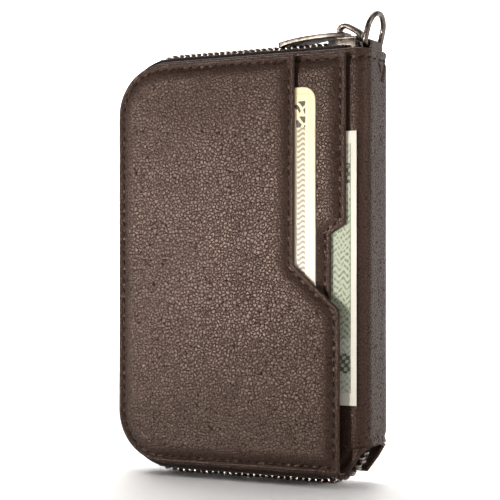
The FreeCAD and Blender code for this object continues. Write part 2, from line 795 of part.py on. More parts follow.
def ring_shape():
    """D-ring standing on its bar: the bar lies along Y through the origin, the crown is up."""
    half = ring_width.value / 2
    wire = ring_wire.value / 2
    bend = RING_CORNER
    crown_low = ring_height.value - half
    vector = FreeCAD.Vector
    cosine = bend * (1 - math.sqrt(0.5))
    path = Part.Wire([
        Part.LineSegment(vector(0, 0, 0), vector(0, half - bend, 0)).toShape(),
        Part.Arc(vector(0, half - bend, 0), vector(0, half - cosine, cosine),
                 vector(0, half, bend)).toShape(),
        Part.LineSegment(vector(0, half, bend), vector(0, half, crown_low)).toShape(),
        Part.Arc(vector(0, half, crown_low), vector(0, 0, ring_height.value),
                 vector(0, -half, crown_low)).toShape(),
        Part.LineSegment(vector(0, -half, crown_low), vector(0, -half, bend)).toShape(),
        Part.Arc(vector(0, -half, bend), vector(0, cosine - half, cosine),
                 vector(0, bend - half, 0)).toShape(),
        Part.LineSegment(vector(0, bend - half, 0), vector(0, 0, 0)).toShape(),
    ])
    section = Part.Wire([Part.Circle(vector(0, 0, 0), vector(0, 1, 0), wire).toShape()])
    return path.makePipeShell([section], True, True)


ring = ring_shape()
ring.rotate(FreeCAD.Vector(0, 0, 0), AXIS_Y, ring_lean.value)
ring.translate(FreeCAD.Vector(loop_x.value, 0, loop_z.value))
BODIES.append(feature("d_ring", ring))
DOC.recompute()

# ---------------------------------------------------------------- place, check and export
pivot = FreeCAD.Vector(pivot_x.value, 0, book_height.value + pivot_rise.value)
tilt = FreeCAD.Rotation(AXIS_Y, -pull_tilt.value)
pull.Placement = FreeCAD.Placement(pivot, tilt)
DOC.recompute()
whole = FreeCAD.BoundBox()
for item in BODIES:
    whole.add(item.Shape.BoundBox)
shift = FreeCAD.Vector(-whole.Center.x, -whole.Center.y, -whole.ZMin)
for item in BODIES:
    item.Placement = FreeCAD.Placement(shift, FreeCAD.Rotation()) * item.Placement
DOC.recompute()

for item in DOC.Objects:
    if "Invalid" in item.State or "Error" in item.State:
        raise RuntimeError(f"{item.Label} did not build")
for item in BODIES:
    shape = item.Shape
    if shape.isNull() or not shape.isValid() or not shape.Solids:
        raise RuntimeError(f"{item.Label} has no valid solid")

os.makedirs("parts", exist_ok=True)
for item in BODIES:
    shape = item.Shape
    shape.exportStep(f"parts/{item.Label}.step")
    box = shape.BoundBox
    print(f"{item.Label}: {len(shape.Solids)} solid(s) {shape.Volume:.1f} mm3, "
          f"x {box.XMin:.2f}..{box.XMax:.2f} y {box.YMin:.2f}..{box.YMax:.2f} "
          f"z {box.ZMin:.2f}..{box.ZMax:.2f}")
print(f"shift {shift.x:.6f} {shift.y:.6f} {shift.z:.6f}")
print(f"pivot {pivot.x + shift.x:.6f} {pivot.z + shift.z:.6f}")
print(f"ring {loop_x.value + shift.x:.6f} {loop_z.value + shift.z:.6f}")
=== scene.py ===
"""Looks of a small zip-around leather wallet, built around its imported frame.

Sizes inside the classes are millimetres; meshes are made in metres.
"""
from __future__ import annotations

import json
import logging
import math
from collections.abc import Callable, Sequence
from dataclasses import dataclass, field
from enum import Enum

import bmesh
import bpy
import numpy as np
from mathutils import Matrix, Vector, noise


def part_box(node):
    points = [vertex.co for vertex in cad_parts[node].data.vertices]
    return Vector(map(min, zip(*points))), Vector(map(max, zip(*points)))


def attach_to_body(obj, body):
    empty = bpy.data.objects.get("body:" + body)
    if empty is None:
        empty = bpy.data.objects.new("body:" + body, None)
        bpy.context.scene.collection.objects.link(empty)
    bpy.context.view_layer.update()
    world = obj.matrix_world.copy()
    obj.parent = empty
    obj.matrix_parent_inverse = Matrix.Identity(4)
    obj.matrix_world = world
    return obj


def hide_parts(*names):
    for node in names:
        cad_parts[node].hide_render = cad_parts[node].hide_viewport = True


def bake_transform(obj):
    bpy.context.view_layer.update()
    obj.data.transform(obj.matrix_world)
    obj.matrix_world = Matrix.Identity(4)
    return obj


LOG = logging.getLogger("wallet")
MM = 0.001
Point = tuple[float, float]
Colour = tuple[float, float, float]


# ------------------------------------------------------------------------------------------------
# Names
# ------------------------------------------------------------------------------------------------
class Part(str, Enum):
    """Moving bodies of the wallet."""

    BACK = "back"
    SPINE = "spine"
    FRONT = "front"
    SLIDER = "slider"
    PULL = "pull"
    RING = "ring"
    CARD = "card"
    NOTES = "notes"


class Side(Enum):
    """The two leaves: the value is the sign of Y on which the leaf lies."""

    FRONT = -1
    BACK = 1

    @property
    def body(self) -> Part:
        """Moving body that this leaf belongs to."""
        return Part.FRONT if self is Side.FRONT else Part.BACK

    @property
    def tag(self) -> str:
        """Word used in node and piece names."""
        return self.body.value


# ------------------------------------------------------------------------------------------------
# Shader expressions
# ------------------------------------------------------------------------------------------------
class Wire:
    """A shader socket that takes part in Python arithmetic."""

    def __init__(self, graph: "Graph", socket: bpy.types.NodeSocket) -> None:
        """Wrap one output socket of a graph."""
        self.graph = graph
        self.socket = socket

    def _join(self, operation: str, first: object, second: object) -> "Wire":
        """Return the output of a Math node on two operands."""
        return self.graph.node("ShaderNodeMath", {"operation": operation}, {0: first, 1: second})

    def __add__(self, other: object) -> "Wire":
        """Sum."""
        return self._join("ADD", self, other)

    __radd__ = __add__

    def __sub__(self, other: object) -> "Wire":
        """Difference."""
        return self._join("SUBTRACT", self, other)

    def __rsub__(self, other: object) -> "Wire":
        """Reflected difference."""
        return self._join("SUBTRACT", other, self)

    def __mul__(self, other: object) -> "Wire":
        """Product."""
        return self._join("MULTIPLY", self, other)

    __rmul__ = __mul__

    def __truediv__(self, other: object) -> "Wire":
        """Quotient."""
        return self._join("DIVIDE", self, other)

    def __pow__(self, other: object) -> "Wire":
        """Power."""
        return self._join("POWER", self, other)

    def __abs__(self) -> "Wire":
        """Absolute value."""
        return self._join("ABSOLUTE", self, 0.0)

    def sine(self) -> "Wire":
        """Sine of the value."""
        return self._join("SINE", self, 0.0)

    def below(self, limit: object) -> "Wire":
        """1 where the value is under limit, else 0."""
        return self._join("LESS_THAN", self, limit)

    def above(self, limit: object) -> "Wire":
        """1 where the value is over limit, else 0."""
        return self._join("GREATER_THAN", self, limit)

    def within(self, low: float, high: float) -> "Wire":
        """1 where the value lies between low and high."""
        return self.above(low) * self.below(high)

    def smooth(self, low: float, high: float) -> "Wire":
        """Smooth step from 0 at low to 1 at high."""
        return self.graph.node(
            "ShaderNodeMapRange",
            {"interpolation_type": "SMOOTHSTEP"},
            {"Value": self, "From Min": low, "From Max": high},
        )


class Graph:
    """Node tree of one material."""

    def __init__(self, name: str) -> None:
        """Start a material that holds one Principled shader."""
        self.material = bpy.data.materials.new(name)
        self.material.use_nodes = True
        self.tree = self.material.node_tree
        self.shader = self.tree.nodes["Principled BSDF"]
        self.place = self.node("ShaderNodeTexCoord", {}, {}, "Object")
        self._axes: tuple[Wire, Wire, Wire] | None = None

    def node(
        self,
        kind: str,
        settings: dict[str, object],
        sockets: dict[object, object],
        output: object = 0,
    ) -> Wire:
        """Add one node.

        Args:
            kind: Blender's type name of the node.
            settings: Properties that are set before the sockets.
            sockets: Values or wires for the inputs, by index or name.
            output: Index or name of the output that is returned.

        Returns:
            The chosen output as a wire.
        """
        made = self.tree.nodes.new(kind)
        for key, value in settings.items():
            setattr(made, key, value)
        for key, value in sockets.items():
            self.feed(made.inputs[key], value)
        return Wire(self, made.outputs[output])

    def feed(self, socket: bpy.types.NodeSocket, value: object) -> None:
        """Link a wire to a socket, or set the socket's own value."""
        if isinstance(value, Wire):
            self.tree.links.new(value.socket, socket)
        elif isinstance(value, tuple) and socket.type == "RGBA":
            socket.default_value = (*value, 1.0)
        else:
            socket.default_value = value

    def set(self, **sockets: object) -> None:
        """Feed the Principled shader; underscores in the names stand for spaces."""
        for key, value in sockets.items():
            self.feed(self.shader.inputs[key.replace("_", " ")], value)

    def axes(self) -> tuple[Wire, Wire, Wire]:
        """Return the object's X, Y and Z in millimetres."""
        if self._axes is None:
            scaled = self.node("ShaderNodeVectorMath", {"operation": "SCALE"},
                               {0: self.place, "Scale": 1.0 / MM})
            split = [self.node("ShaderNodeSeparateXYZ", {}, {0: scaled}, axis) for axis in range(3)]
            self._axes = (split[0], split[1], split[2])
        return self._axes

    def noise(
        self, size: float, detail: float = 3.0, rough: float = 0.5, twist: float = 0.0
    ) -> Wire:
        """Return noise whose features are about size millimetres; twist distorts it."""
        return self.node("ShaderNodeTexNoise", {},
                         {"Vector": self.place, "Scale": 1.0 / (size * MM), "Detail": detail,
                          "Roughness": rough, "Distortion": twist})

    def warped(self, size: float, amount: float) -> Wire:
        """Return the object coordinates pushed about by noise.

        Args:
            size: Feature size of the noise in millimetres.
            amount: Largest push in millimetres.
        """
        colour = self.node("ShaderNodeTexNoise", {},
                           {"Vector": self.place, "Scale": 1.0 / (size * MM), "Detail": 2.0}, 1)
        push = self.node("ShaderNodeVectorMath", {"operation": "SCALE"},
                         {0: colour, "Scale": amount * MM})
        return self.node("ShaderNodeVectorMath", {"operation": "ADD"}, {0: self.place, 1: push})

    def cells(self, size: float, feature: str, place: Wire | None = None) -> Wire:
        """Return a Voronoi distance whose cells are about size millimetres."""
        return self.node("ShaderNodeTexVoronoi", {"feature": feature},
                         {"Vector": place or self.place, "Scale": 1.0 / (size * MM)},
                         "Distance")

    def blend(self, factor: object, first: object, second: object) -> Wire:
        """Mix two colours by a factor."""
        return self.node("ShaderNodeMix", {"data_type": "RGBA"},
                         {0: factor, 6: first, 7: second}, 2)

    def bump(self, height: Wire, strength: float, depth: float) -> Wire:
        """Return a bump normal; depth is in millimetres."""
        return self.node("ShaderNodeBump", {},
                         {"Height": height, "Strength": strength, "Distance": depth * MM})


# ------------------------------------------------------------------------------------------------
# Finishes
# ------------------------------------------------------------------------------------------------
@dataclass(frozen=True)
class Leather:
    """Pebbled leather: rounded grains of two sizes, with painted shade in the creases between them."""

    name: str
    tone: Colour = (0.0205, 0.0090, 0.0058)
    light: Colour = (0.0315, 0.0152, 0.0105)
    # crease is painted shade: the dark colour laid into the grain's valleys.
    crease: Colour = (0.006, 0.0025, 0.0018)
    sheen: Colour = (1.0, 0.78, 0.66)
    grain: float = 0.84
    lump: float = 0.62
    pore: float = 0.16
    fold: float = 2.1
    cloud: float = 24.0
    depth: float = 0.050
    gloss: float = 0.37
    dry: float = 0.86

    def make(self) -> bpy.types.Material:
        """Build the material."""
        graph = Graph(self.name)
        place = graph.warped(1.2, 0.42)
        edge = graph.cells(self.grain, "DISTANCE_TO_EDGE", place)
        pebble = edge.smooth(-0.01, 0.26)
        lumps = graph.noise(self.lump, 1.0, 0.4, 0.5)
        pores = graph.noise(self.pore, 3.0, 0.6)
        folds = graph.noise(self.fold, 3.0, 0.62)
        cloud = graph.noise(self.cloud, 2.0)
        height = pebble * 0.90 + lumps * 0.26 + pores * 0.03 + folds * 0.30
        worn = graph.blend(cloud.smooth(0.3, 0.75) * 0.4 + folds.smooth(0.35, 0.7) * 0.3, self.tone,
                           self.light)
        valley = (edge.smooth(-0.02, 0.13) * 0.92 + lumps.smooth(0.30, 0.62) * 0.10).smooth(0.14, 0.84)
        # The valleys get the crease colour: painted shade between the grains.
        crease_shaded = graph.blend(valley * 0.80 + 0.20, self.crease, worn)
        graph.set(
            Base_Color=crease_shaded,
            Roughness=(valley * (self.gloss - self.dry) + self.dry) + pores * 0.08,
            Normal=graph.bump(height, 1.0, self.depth),
            Specular_IOR_Level=0.36,
            Specular_Tint=self.sheen,
        )
        return graph.material


@dataclass(frozen=True)
class Edging:
    """Cut or turned leather edge: smoother and redder than the grain side."""

    name: str
    tone: Colour = (0.060, 0.040, 0.032)
    dark: Colour = (0.028, 0.014, 0.010)

    def make(self) -> bpy.types.Material:
        """Build the material."""
        graph = Graph(self.name)
        streak = graph.noise(0.9, 4.0, 0.6)
        fibre = graph.noise(0.2, 3.0, 0.7)
        graph.set(
            Base_Color=graph.blend(streak.smooth(0.35, 0.65), self.dark, self.tone),
            Roughness=0.5 + fibre * 0.2,
            Normal=graph.bump(streak + fibre * 0.5, 0.6, 0.10),
        )
        return graph.material


@dataclass(frozen=True)
class Cloth:
    """Woven cloth with two thread directions along given axes."""

    name: str
    tone: Colour
    shade: Colour
    pitch: float = 0.42
    along: tuple[int, int] = (0, 2)
    rough: float = 0.86
    depth: float = 0.12

    def make(self) -> bpy.types.Material:
        """Build the material."""
        graph = Graph(self.name)
        axes = graph.axes()
        turns = 2 * math.pi / self.pitch
        first = (axes[self.along[0]] * turns).sine()
        second = (axes[self.along[1]] * turns).sine()
        weave = first * second * 0.5 + 0.5
        fuzz = graph.noise(0.35, 3.0, 0.7)
        graph.set(
            Base_Color=graph.blend(weave * 0.7 + fuzz * 0.4, self.shade, self.tone),
            Roughness=self.rough + fuzz * 0.1,
            Normal=graph.bump(weave + fuzz * 0.4, 0.7, self.depth),
            Sheen_Weight=0.06,
            Specular_IOR_Level=0.25,
        )
        return graph.material


@dataclass(frozen=True)
class Metal:
    """Plated metal with rubbed high spots and a warm, darker tone where it is handled less."""

    name: str
    bright: Colour = (0.30, 0.255, 0.22)
    dull: Colour = (0.09, 0.065, 0.055)
    rough: float = 0.24
    wear: float = 1.6

    def make(self) -> bpy.types.Material:
        """Build the material."""
        graph = Graph(self.name)
        patch = graph.noise(self.wear, 4.0, 0.65)
        scratch = graph.noise(0.18, 2.0, 0.7)
        graph.set(
            Base_Color=graph.blend(patch.smooth(0.3, 0.7), self.dull, self.bright),
            Metallic=1.0,
            Roughness=self.rough + scratch * 0.16,
            Normal=graph.bump(scratch + patch * 0.6, 0.25, 0.03),
        )
        return graph.material


@dataclass(frozen=True)
class Thread:
    """Waxed sewing thread with a visible twist."""

    name: str
    tone: Colour = (0.007, 0.0025, 0.0015)
    light: Colour = (0.026, 0.009, 0.005)

    def make(self) -> bpy.types.Material:
        """Build the material."""
        graph = Graph(self.name)
        x, y, z = graph.axes()
        twist = ((x + z * 1.3 + y) * (2 * math.pi / 0.34)).sine() * 0.5 + 0.5
        fuzz = graph.noise(0.25, 3.0)
        graph.set(
            Base_Color=graph.blend(twist * 0.6 + fuzz * 0.3, self.tone, self.light),
            Roughness=0.75 + fuzz * 0.2,
            Specular_IOR_Level=0.2,
            Normal=graph.bump(twist + fuzz * 0.4, 0.6, 0.06),
        )
        return graph.material


@dataclass(frozen=True)
class CardStock:
    """Cream payment-card plastic with a plain scroll block and an engraved strip."""

    name: str
    right: float
    top: float
    cream: Colour = (0.68, 0.63, 0.53)
    gold: Colour = (0.62, 0.47, 0.24)
    ink: Colour = (0.05, 0.035, 0.02)

    def make(self) -> bpy.types.Material:
        """Build the material; the print is placed from the card's top right corner."""
        graph = Graph(self.name)
        x, _, z = graph.axes()
        inward = self.right - x
        down = self.top - z
        glow = down.smooth(-5.0, 60.0)
        ground = graph.blend(glow, (0.74, 0.61, 0.38), self.cream)
        scroll = graph.cells(2.1, "DISTANCE_TO_EDGE", graph.warped(3.0, 2.4))
        curls = (scroll * 9.0 + graph.noise(1.6, 1.0) * 2.0).sine().above(0.60)
        block = inward.within(2.6, 6.6) * down.within(3.4, 9.8)
        lines = ((down * 5.0 + (inward * 2.4).sine() * 1.8).sine() * 0.5 + 0.5)
        strip = inward.within(2.7, 4.9) * down.within(9.8, 82.0)
        hair = inward.within(1.5, 1.75) + down.within(1.5, 1.75) * inward.above(1.5)
        printed = graph.blend(strip * (lines * 0.8 + 0.15), ground, (0.17, 0.145, 0.12))
        printed = graph.blend(block * (1 - curls * 0.92), printed, self.ink)
        printed = graph.blend(hair * 0.65, printed, self.gold)
        speck = graph.noise(0.6, 3.0)
        graph.set(
            Base_Color=printed,
            Roughness=0.36 + speck * 0.14,
            Normal=graph.bump(speck - strip * lines * 0.4, 0.3, 0.04),
        )
        return graph.material


@dataclass(frozen=True)
class NotePaper:
    """Printed banknote paper: white margins, pale ground and an engraved green lace pattern."""

    name: str
    right: float
    bottom: float
    height: float = 66.3
    paper: Colour = (0.58, 0.56, 0.49)
    green: Colour = (0.07, 0.11, 0.06)
    ink: Colour = (0.02, 0.025, 0.02)

    def make(self) -> bpy.types.Material:
        """Build the material; the print is placed from the note's lower right corner."""
        graph = Graph(self.name)
        x, _, z = graph.axes()
        inward = self.right - x
        up = z - self.bottom
        middle = abs(up - self.height / 2)
        margin = inward.above(1.5) * middle.below(self.height / 2 - 3.0)
        lace_a = ((up * 3.6 + (inward * 3.1).sine() * 2.2).sine() * 0.5 + 0.5)
        lace_b = ((up * 4.4 - (inward * 2.3 + up * 0.4).sine() * 2.6).sine() * 0.5 + 0.5)
        lace = (lace_a * lace_b) ** 0.7
        wide = margin * middle.below(17.0)
        framed = margin * middle.above(17.0)
        blocks = framed * middle.within(20.6, 25.4)
        tiles = ((up * 3.4).sine() * (inward * 3.1 + up * 0.6).sine()).above(-0.10)
        tint = graph.blend(wide * 0.75 + framed * 0.22, self.paper, (0.30, 0.35, 0.24))
        drawn = graph.blend(wide * lace * 0.95, tint, self.green)
        drawn = graph.blend(framed * lace * 0.60, drawn, self.green)
        drawn = graph.blend(blocks * (tiles * 0.8 + 0.15), drawn, self.ink)
        rule = inward.within(1.5, 1.8) * margin
        drawn = graph.blend(rule * 0.7, drawn, self.green)
        fibre = graph.noise(0.5, 4.0, 0.7)
        graph.set(
            Base_Color=graph.blend(fibre * 0.18, drawn, (0.42, 0.40, 0.33)),
            Roughness=0.78 + fibre * 0.12,
            Normal=graph.bump(fibre + lace * 0.3, 0.35, 0.05),
        )
        return graph.material


# ------------------------------------------------------------------------------------------------
# Frame measures
# ------------------------------------------------------------------------------------------------
@dataclass(frozen=True)
class Book:
    """The leather book's edges and faces, measured from the frame, in millimetres."""

    left: float
    fold: float
    right: float
    bottom: float
    top: float
    front: float
    back: float
    corner: float = 14.0
    bend: float = 3.0
    leather: float = 1.2
    foot_x: float = 57.5
    foot_bend: float = 7.6
    foot_turn: float = 80.0

    @classmethod
    def measure(cls) -> "Book":
        """Read the boxes of the cover nodes."""
        low, high = node_box("cover_front")
        _, far = node_box("cover_spine")
        _, rear = node_box("cover_back")
        return cls(left=low.x, fold=high.x, right=far.x, bottom=low.z, top=high.z,
                   front=low.y, back=rear.y)

    @property
    def middle(self) -> float:
        """Y of the plane between the leaves."""
        return (self.front + self.back) / 2

    @property
    def half(self) -> float:
        """Distance from the middle plane to a cover's outer face."""
        return (self.back - self.front) / 2

    @property
    def spine_run(self) -> float:
        """Wrap coordinate of the middle of the spine, measured on the outer leather."""
        return self.fold + self.bend * math.pi / 2 + (self.half - self.bend)


def node_box(node: str) -> tuple[Vector, Vector]:
    """Low and high corner of a frame node, in millimetres."""
    low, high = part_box(node)
    return Vector(low) / MM, Vector(high) / MM


def arc(centre: Point, radius: float, start: float, end: float, count: int = 14) -> list[Point]:
    """Points on an arc.

    Args:
        centre: Centre of the arc.
        radius: Its radius.
        start: First angle in degrees.
        end: Last angle in degrees.
        count: Number of steps.
    """
    angles = [math.radians(start + (end - start) * step / count) for step in range(count + 1)]
    return [(centre[0] + radius * math.cos(a), centre[1] + radius * math.sin(a)) for a in angles]


def leaf_corners(book: Book, inset: float) -> list[Point]:
    """Rounded opening side of a leaf, from the top run down to the bottom run."""
    radius = book.corner - inset
    centre_x = book.left + book.corner
    upper = arc((centre_x, book.top - book.corner), radius, 90, 180)
    lower = arc((centre_x, book.bottom + book.corner), radius, 180, 270)
    return upper + lower


# ------------------------------------------------------------------------------------------------
# Mesh helpers
# ------------------------------------------------------------------------------------------------
def make_piece(
    name: str,
    vertices: np.ndarray,
    faces: Sequence[Sequence[int]],
    material: bpy.types.Material,
    crease: float = 60.0,
) -> bpy.types.Object:
    """Make a mesh object from millimetre vertices.

    Args:
        name: Piece name.
        vertices: Rows of X, Y and Z in millimetres.
        faces: Vertex indices of each face.
        material: Finish of the whole piece.
        crease: Edges sharper than this many degrees stay crisp.

    Returns:
        The new object, linked to the scene.
    """
    mesh = bpy.data.meshes.new(name)
    mesh.from_pydata((np.asarray(vertices) * MM).tolist(), [], [list(face) for face in faces])
    mesh.validate()
    shape = bmesh.new()
    shape.from_mesh(mesh)
    bmesh.ops.remove_doubles(shape, verts=shape.verts, dist=2e-7)
    bmesh.ops.dissolve_degenerate(shape, edges=shape.edges, dist=1e-8)
    bmesh.ops.recalc_face_normals(shape, faces=shape.faces)
    shape.to_mesh(mesh)
    shape.free()
    mesh.shade_smooth()
    mesh.set_sharp_from_angle(angle=math.radians(crease))
    mesh.materials.append(material)
    made = bpy.data.objects.new(name, mesh)
    bpy.context.scene.collection.objects.link(made)
    return made


def attach(
    piece: bpy.types.Object, body: Part, slot: str | None, *nodes: str
) -> bpy.types.Object:
    """Ride a piece on a body and hide the nodes that it stands for."""
    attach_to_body(piece, body.value)
    if nodes:
        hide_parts(*nodes)
    LOG.info("%s rides on %s", piece.name, body.value)
    return piece


EDGE_STOPS = (0.0, 0.06, 0.14, 0.26, 0.42, 0.62, 0.86, 1.10, 1.34, 1.60, 1.90, 2.30, 2.80, 3.50, 4.40, 5.40)


def spread(length: float, step: float) -> np.ndarray:
    """Stops from 0 to length that lie close together near both ends."""
    edge = np.array(EDGE_STOPS)
    if length <= 2.4 * edge[-1]:
        edge = edge * (length / (2.4 * edge[-1]))
    inner = length - 2 * edge[-1]
    count = max(int(round(inner / step)), 1)
    middle = edge[-1] + inner * np.arange(1, count) / count
    return np.concatenate([edge, middle, length - edge[::-1]])


Relief = Callable[[np.ndarray, np.ndarray, np.ndarray], np.ndarray]
Bend = Callable[[np.ndarray, np.ndarray, np.ndarray], np.ndarray]


@dataclass
class Sheet:
    """A sheet cut to a flat outline, given relief, and bent into place.

    The outline lies in (s, z): s runs across the sheet and z up. n is the height above the sheet's
    nominal outer face. Each level of z crosses the outline only once from left to right.
    """

    outline: list[Point]
    thickness: float
    round_edge: float
    bend: Bend
    relief: Relief | None = None
    open_from: float = math.inf
    step: float = 1.3
    backing: float = 0.0
    levels: tuple[float, ...] = ()

    def _span(self, level: float) -> tuple[float, float]:
        """Left and right ends of the outline at one level."""
        levels = [z for _, z in self.outline]
        level = min(max(level, min(levels) + 1e-6), max(levels) - 1e-6)
        found: list[float] = []
        for (s0, z0), (s1, z1) in zip(self.outline, self.outline[1:] + self.outline[:1]):
            if (z0 - level) * (z1 - level) > 0:
                continue
            if abs(z0 - z1) < 1e-9:
                found += [s0, s1]
            else:
                found.append(s0 + (s1 - s0) * (level - z0) / (z1 - z0))
        return min(found), max(found)

    def _distance(self, s: np.ndarray, z: np.ndarray) -> np.ndarray:
        """Distance of each grid point from the outline, apart from its open side."""
        best = np.full(s.shape, 1e9)
        for (s0, z0), (s1, z1) in zip(self.outline, self.outline[1:] + self.outline[:1]):
            if min(s0, s1) >= self.open_from:
                continue
            run, rise = s1 - s0, z1 - z0
            square = run * run + rise * rise
            if square < 1e-12:
                continue
            share = np.clip(((s - s0) * run + (z - z0) * rise) / square, 0, 1)
            best = np.minimum(best, np.hypot(s - s0 - share * run, z - z0 - share * rise))
        return best

    def build(self, name: str, material: bpy.types.Material) -> bpy.types.Object:
        """Make the closed mesh of the sheet."""
        levels = [z for _, z in self.outline]
        low, high = min(levels), max(levels)
        rows = low + spread(high - low, self.step)
        keys = [z for z in list(levels) + list(self.levels) if low < z < high]
        rows = np.unique(np.round(np.concatenate([rows, keys]), 4))
        keep = [0]
        for index in range(1, len(rows)):
            if rows[index] - rows[keep[-1]] > 0.03:
                keep.append(index)
        rows = rows[keep]
        rows[-1] = high
        spans = [self._span(level) for level in rows]
        widest = max(right - left for left, right in spans)
        edge = np.array(EDGE_STOPS)
        narrow = min(right - left for left, right in spans)
        edge = edge * min(1.0, narrow / (2.4 * edge[-1]))
        count = max(int(round((widest - 2 * edge[-1]) / self.step)), 2)
        shares = np.arange(1, count) / count
        s = np.array([
            np.concatenate([
                left + edge,
                left + edge[-1] + (right - left - 2 * edge[-1]) * shares,
                right - edge[::-1],
            ])
            for left, right in spans
        ])
        z = np.repeat(rows[:, None], s.shape[1], axis=1)
        away = self._distance(s, z)
        rise = self.relief(s, z, away) if self.relief else np.zeros(s.shape)
        half = self.thickness / 2
        full = np.clip(away / self.round_edge, 0, 1)
        swell = half * np.sqrt(1 - (1 - full) ** 2)
        outer = self.bend(s, z, -half + swell + rise * np.minimum(1, full * 2))
        inner = self.bend(s, z, -half - swell + rise * self.backing)
        return make_piece(name, *self._close(outer, inner), material)

    @staticmethod
    def _close(outer: np.ndarray, inner: np.ndarray) -> tuple[np.ndarray, list[list[int]]]:
        """Join two grids of points into one closed skin."""
        rows, columns = outer.shape[:2]
        size = rows * columns
        vertices = np.concatenate([outer.reshape(-1, 3), inner.reshape(-1, 3)])
        faces = []
        for row in range(rows - 1):
            for column in range(columns - 1):
                a = row * columns + column
                ring = [a, a + 1, a + 1 + columns, a + columns]
                faces.append(ring)
                faces.append([size + index for index in reversed(ring)])
        rim = [column for column in range(columns)]
        rim += [row * columns + columns - 1 for row in range(1, rows)]
        rim += [(rows - 1) * columns + column for column in range(columns - 2, -1, -1)]
        rim += [row * columns for row in range(rows - 2, 0, -1)]
        for first, second in zip(rim, rim[1:] + rim[:1]):
            faces.append([first, first + size, second + size, second])
        return vertices, faces


def flat_bend(book: Book, side: Side, face: float) -> Bend:
    """Lay a sheet flat at a distance from the middle plane, facing away from it.

    Args:
        book: Measures of the wallet.
        side: Leaf on which it lies.
        face: Distance of the sheet's outer face from the middle plane.
    """
    def place(s: np.ndarray, z: np.ndarray, n: np.ndarray) -> np.ndarray:
        """Position of each point."""
        return np.stack([s, book.middle + side.value * (face + n), z], axis=-1)

    return place


def inward_bend(book: Book, side: Side, face: float) -> Bend:
    """Lay a sheet flat inside a leaf, facing the middle plane."""
    def place(s: np.ndarray, z: np.ndarray, n: np.ndarray) -> np.ndarray:
        """Position of each point."""
        return np.stack([s, book.middle + side.value * (face - n), z], axis=-1)

    return place


def wrap_bend(book: Book, side: Side) -> Bend:
    """Lay a sheet on a cover, round the fold and along the spine to its middle."""
    def place(s: np.ndarray, z: np.ndarray, n: np.ndarray) -> np.ndarray:
        """Position of each point."""
        turn = np.clip((s - book.fold) / book.bend, 0, math.pi / 2)
        beyond = np.maximum(s - book.fold - book.bend * math.pi / 2, 0)
        x = np.minimum(s, book.fold) + book.bend * np.sin(turn) + n * np.sin(turn)
        out = book.half - book.bend * (1 - np.cos(turn)) - beyond + n * np.cos(turn)
        return np.stack([x, book.middle + side.value * out, z], axis=-1)

    return place


def waves(s: np.ndarray, z: np.ndarray, size: float, seed: float) -> np.ndarray:
    """Gentle unevenness of a hand-sewn sheet, between about -1 and 1."""
    flat = [noise.noise(Vector((a / size, b / size, seed))) for a, b in zip(s.ravel(), z.ravel())]
    return np.array(flat).reshape(s.shape)


def groove(distance: np.ndarray, centre: float, width: float, depth: float) -> np.ndarray:
    """Pressed line at a distance from an edge."""
    return -depth * np.exp(-(((distance - centre) / width) ** 2))


def ramp(value: np.ndarray, low: float, high: float) -> np.ndarray:
    """Smooth step from 0 at low to 1 at high."""
    share = np.clip((value - low) / (high - low), 0, 1)
    return share * share * (3 - 2 * share)


def segment_distance(a: np.ndarray, b: np.ndarray, start: Point, end: Point) -> np.ndarray:
    """Distance of points (a, b) from a straight segment."""
    run, rise = end[0] - start[0], end[1] - start[1]
    share = np.clip(((a - start[0]) * run + (b - start[1]) * rise) / (run * run + rise * rise), 0, 1)
    return np.hypot(a - start[0] - share * run, b - start[1] - share * rise)


def walk(points: Sequence[Point], pitch: float) -> list[tuple[Point, Point]]:
    """Equal steps along a polyline.

    Args:
        points: Corners of the line.
        pitch: Wanted step; it is adjusted so that a whole number of steps fits.

    Returns:
        The start and end of each step.
    """
    line = np.array(points)
    lengths = np.concatenate([[0], np.cumsum(np.hypot(*np.diff(line, axis=0).T))])
    count = max(int(lengths[-1] / pitch), 1)
    marks = np.linspace(0, lengths[-1], count + 1)
    s = np.interp(marks, lengths, line[:, 0])
    z = np.interp(marks, lengths, line[:, 1])
    return [((s[i], z[i]), (s[i + 1], z[i + 1])) for i in range(count)]


@dataclass
class Seam:
    """A row of sewn stitches that lies on a bent sheet."""

    path: list[Point]
    bend: Bend
    pitch: float = 2.45
    share: float = 0.74
    width: float = 0.52
    lift: float = 0.16
    slant: float = 0.16
    sink: float = 0.22
    level: float = 0.0

    def build(self, name: str, material: bpy.types.Material) -> bpy.types.Object:
        """Make every stitch of the row as one piece."""
        rings = 7
        sides = 8
        vertices: list[np.ndarray] = []
        faces: list[list[int]] = []
        for (s0, z0), (s1, z1) in walk(self.path, self.pitch):
            run, rise = s1 - s0, z1 - z0
            length = math.hypot(run, rise)
            along = (run / length, rise / length)
            across = (-along[1], along[0])
            base = len(vertices) * rings * sides
            ring_s, ring_z, ring_n = [], [], []
            for ring in range(rings):
                share = ring / (rings - 1)
                position = (share - 0.5) * self.share * length
                bow = math.sin(math.pi * share)
                drift = (share - 0.5) * 2 * self.slant
                height = self.level - self.sink + (self.lift + self.sink) * bow ** 0.6
                thick = self.width / 2 * (0.55 + 0.45 * bow)
                for side in range(sides):
                    angle = 2 * math.pi * side / sides
                    shift = drift + thick * math.cos(angle)
                    ring_s.append(s0 + run / 2 + along[0] * position + across[0] * shift)
                    ring_z.append(z0 + rise / 2 + along[1] * position + across[1] * shift)
                    ring_n.append(height - thick * 0.62 * (1 - math.sin(angle)))
            vertices.append(self.bend(np.array(ring_s), np.array(ring_z), np.array(ring_n)))
            faces += skin_faces(rings, sides, base)
        return make_piece(name, np.concatenate(vertices), faces, material)


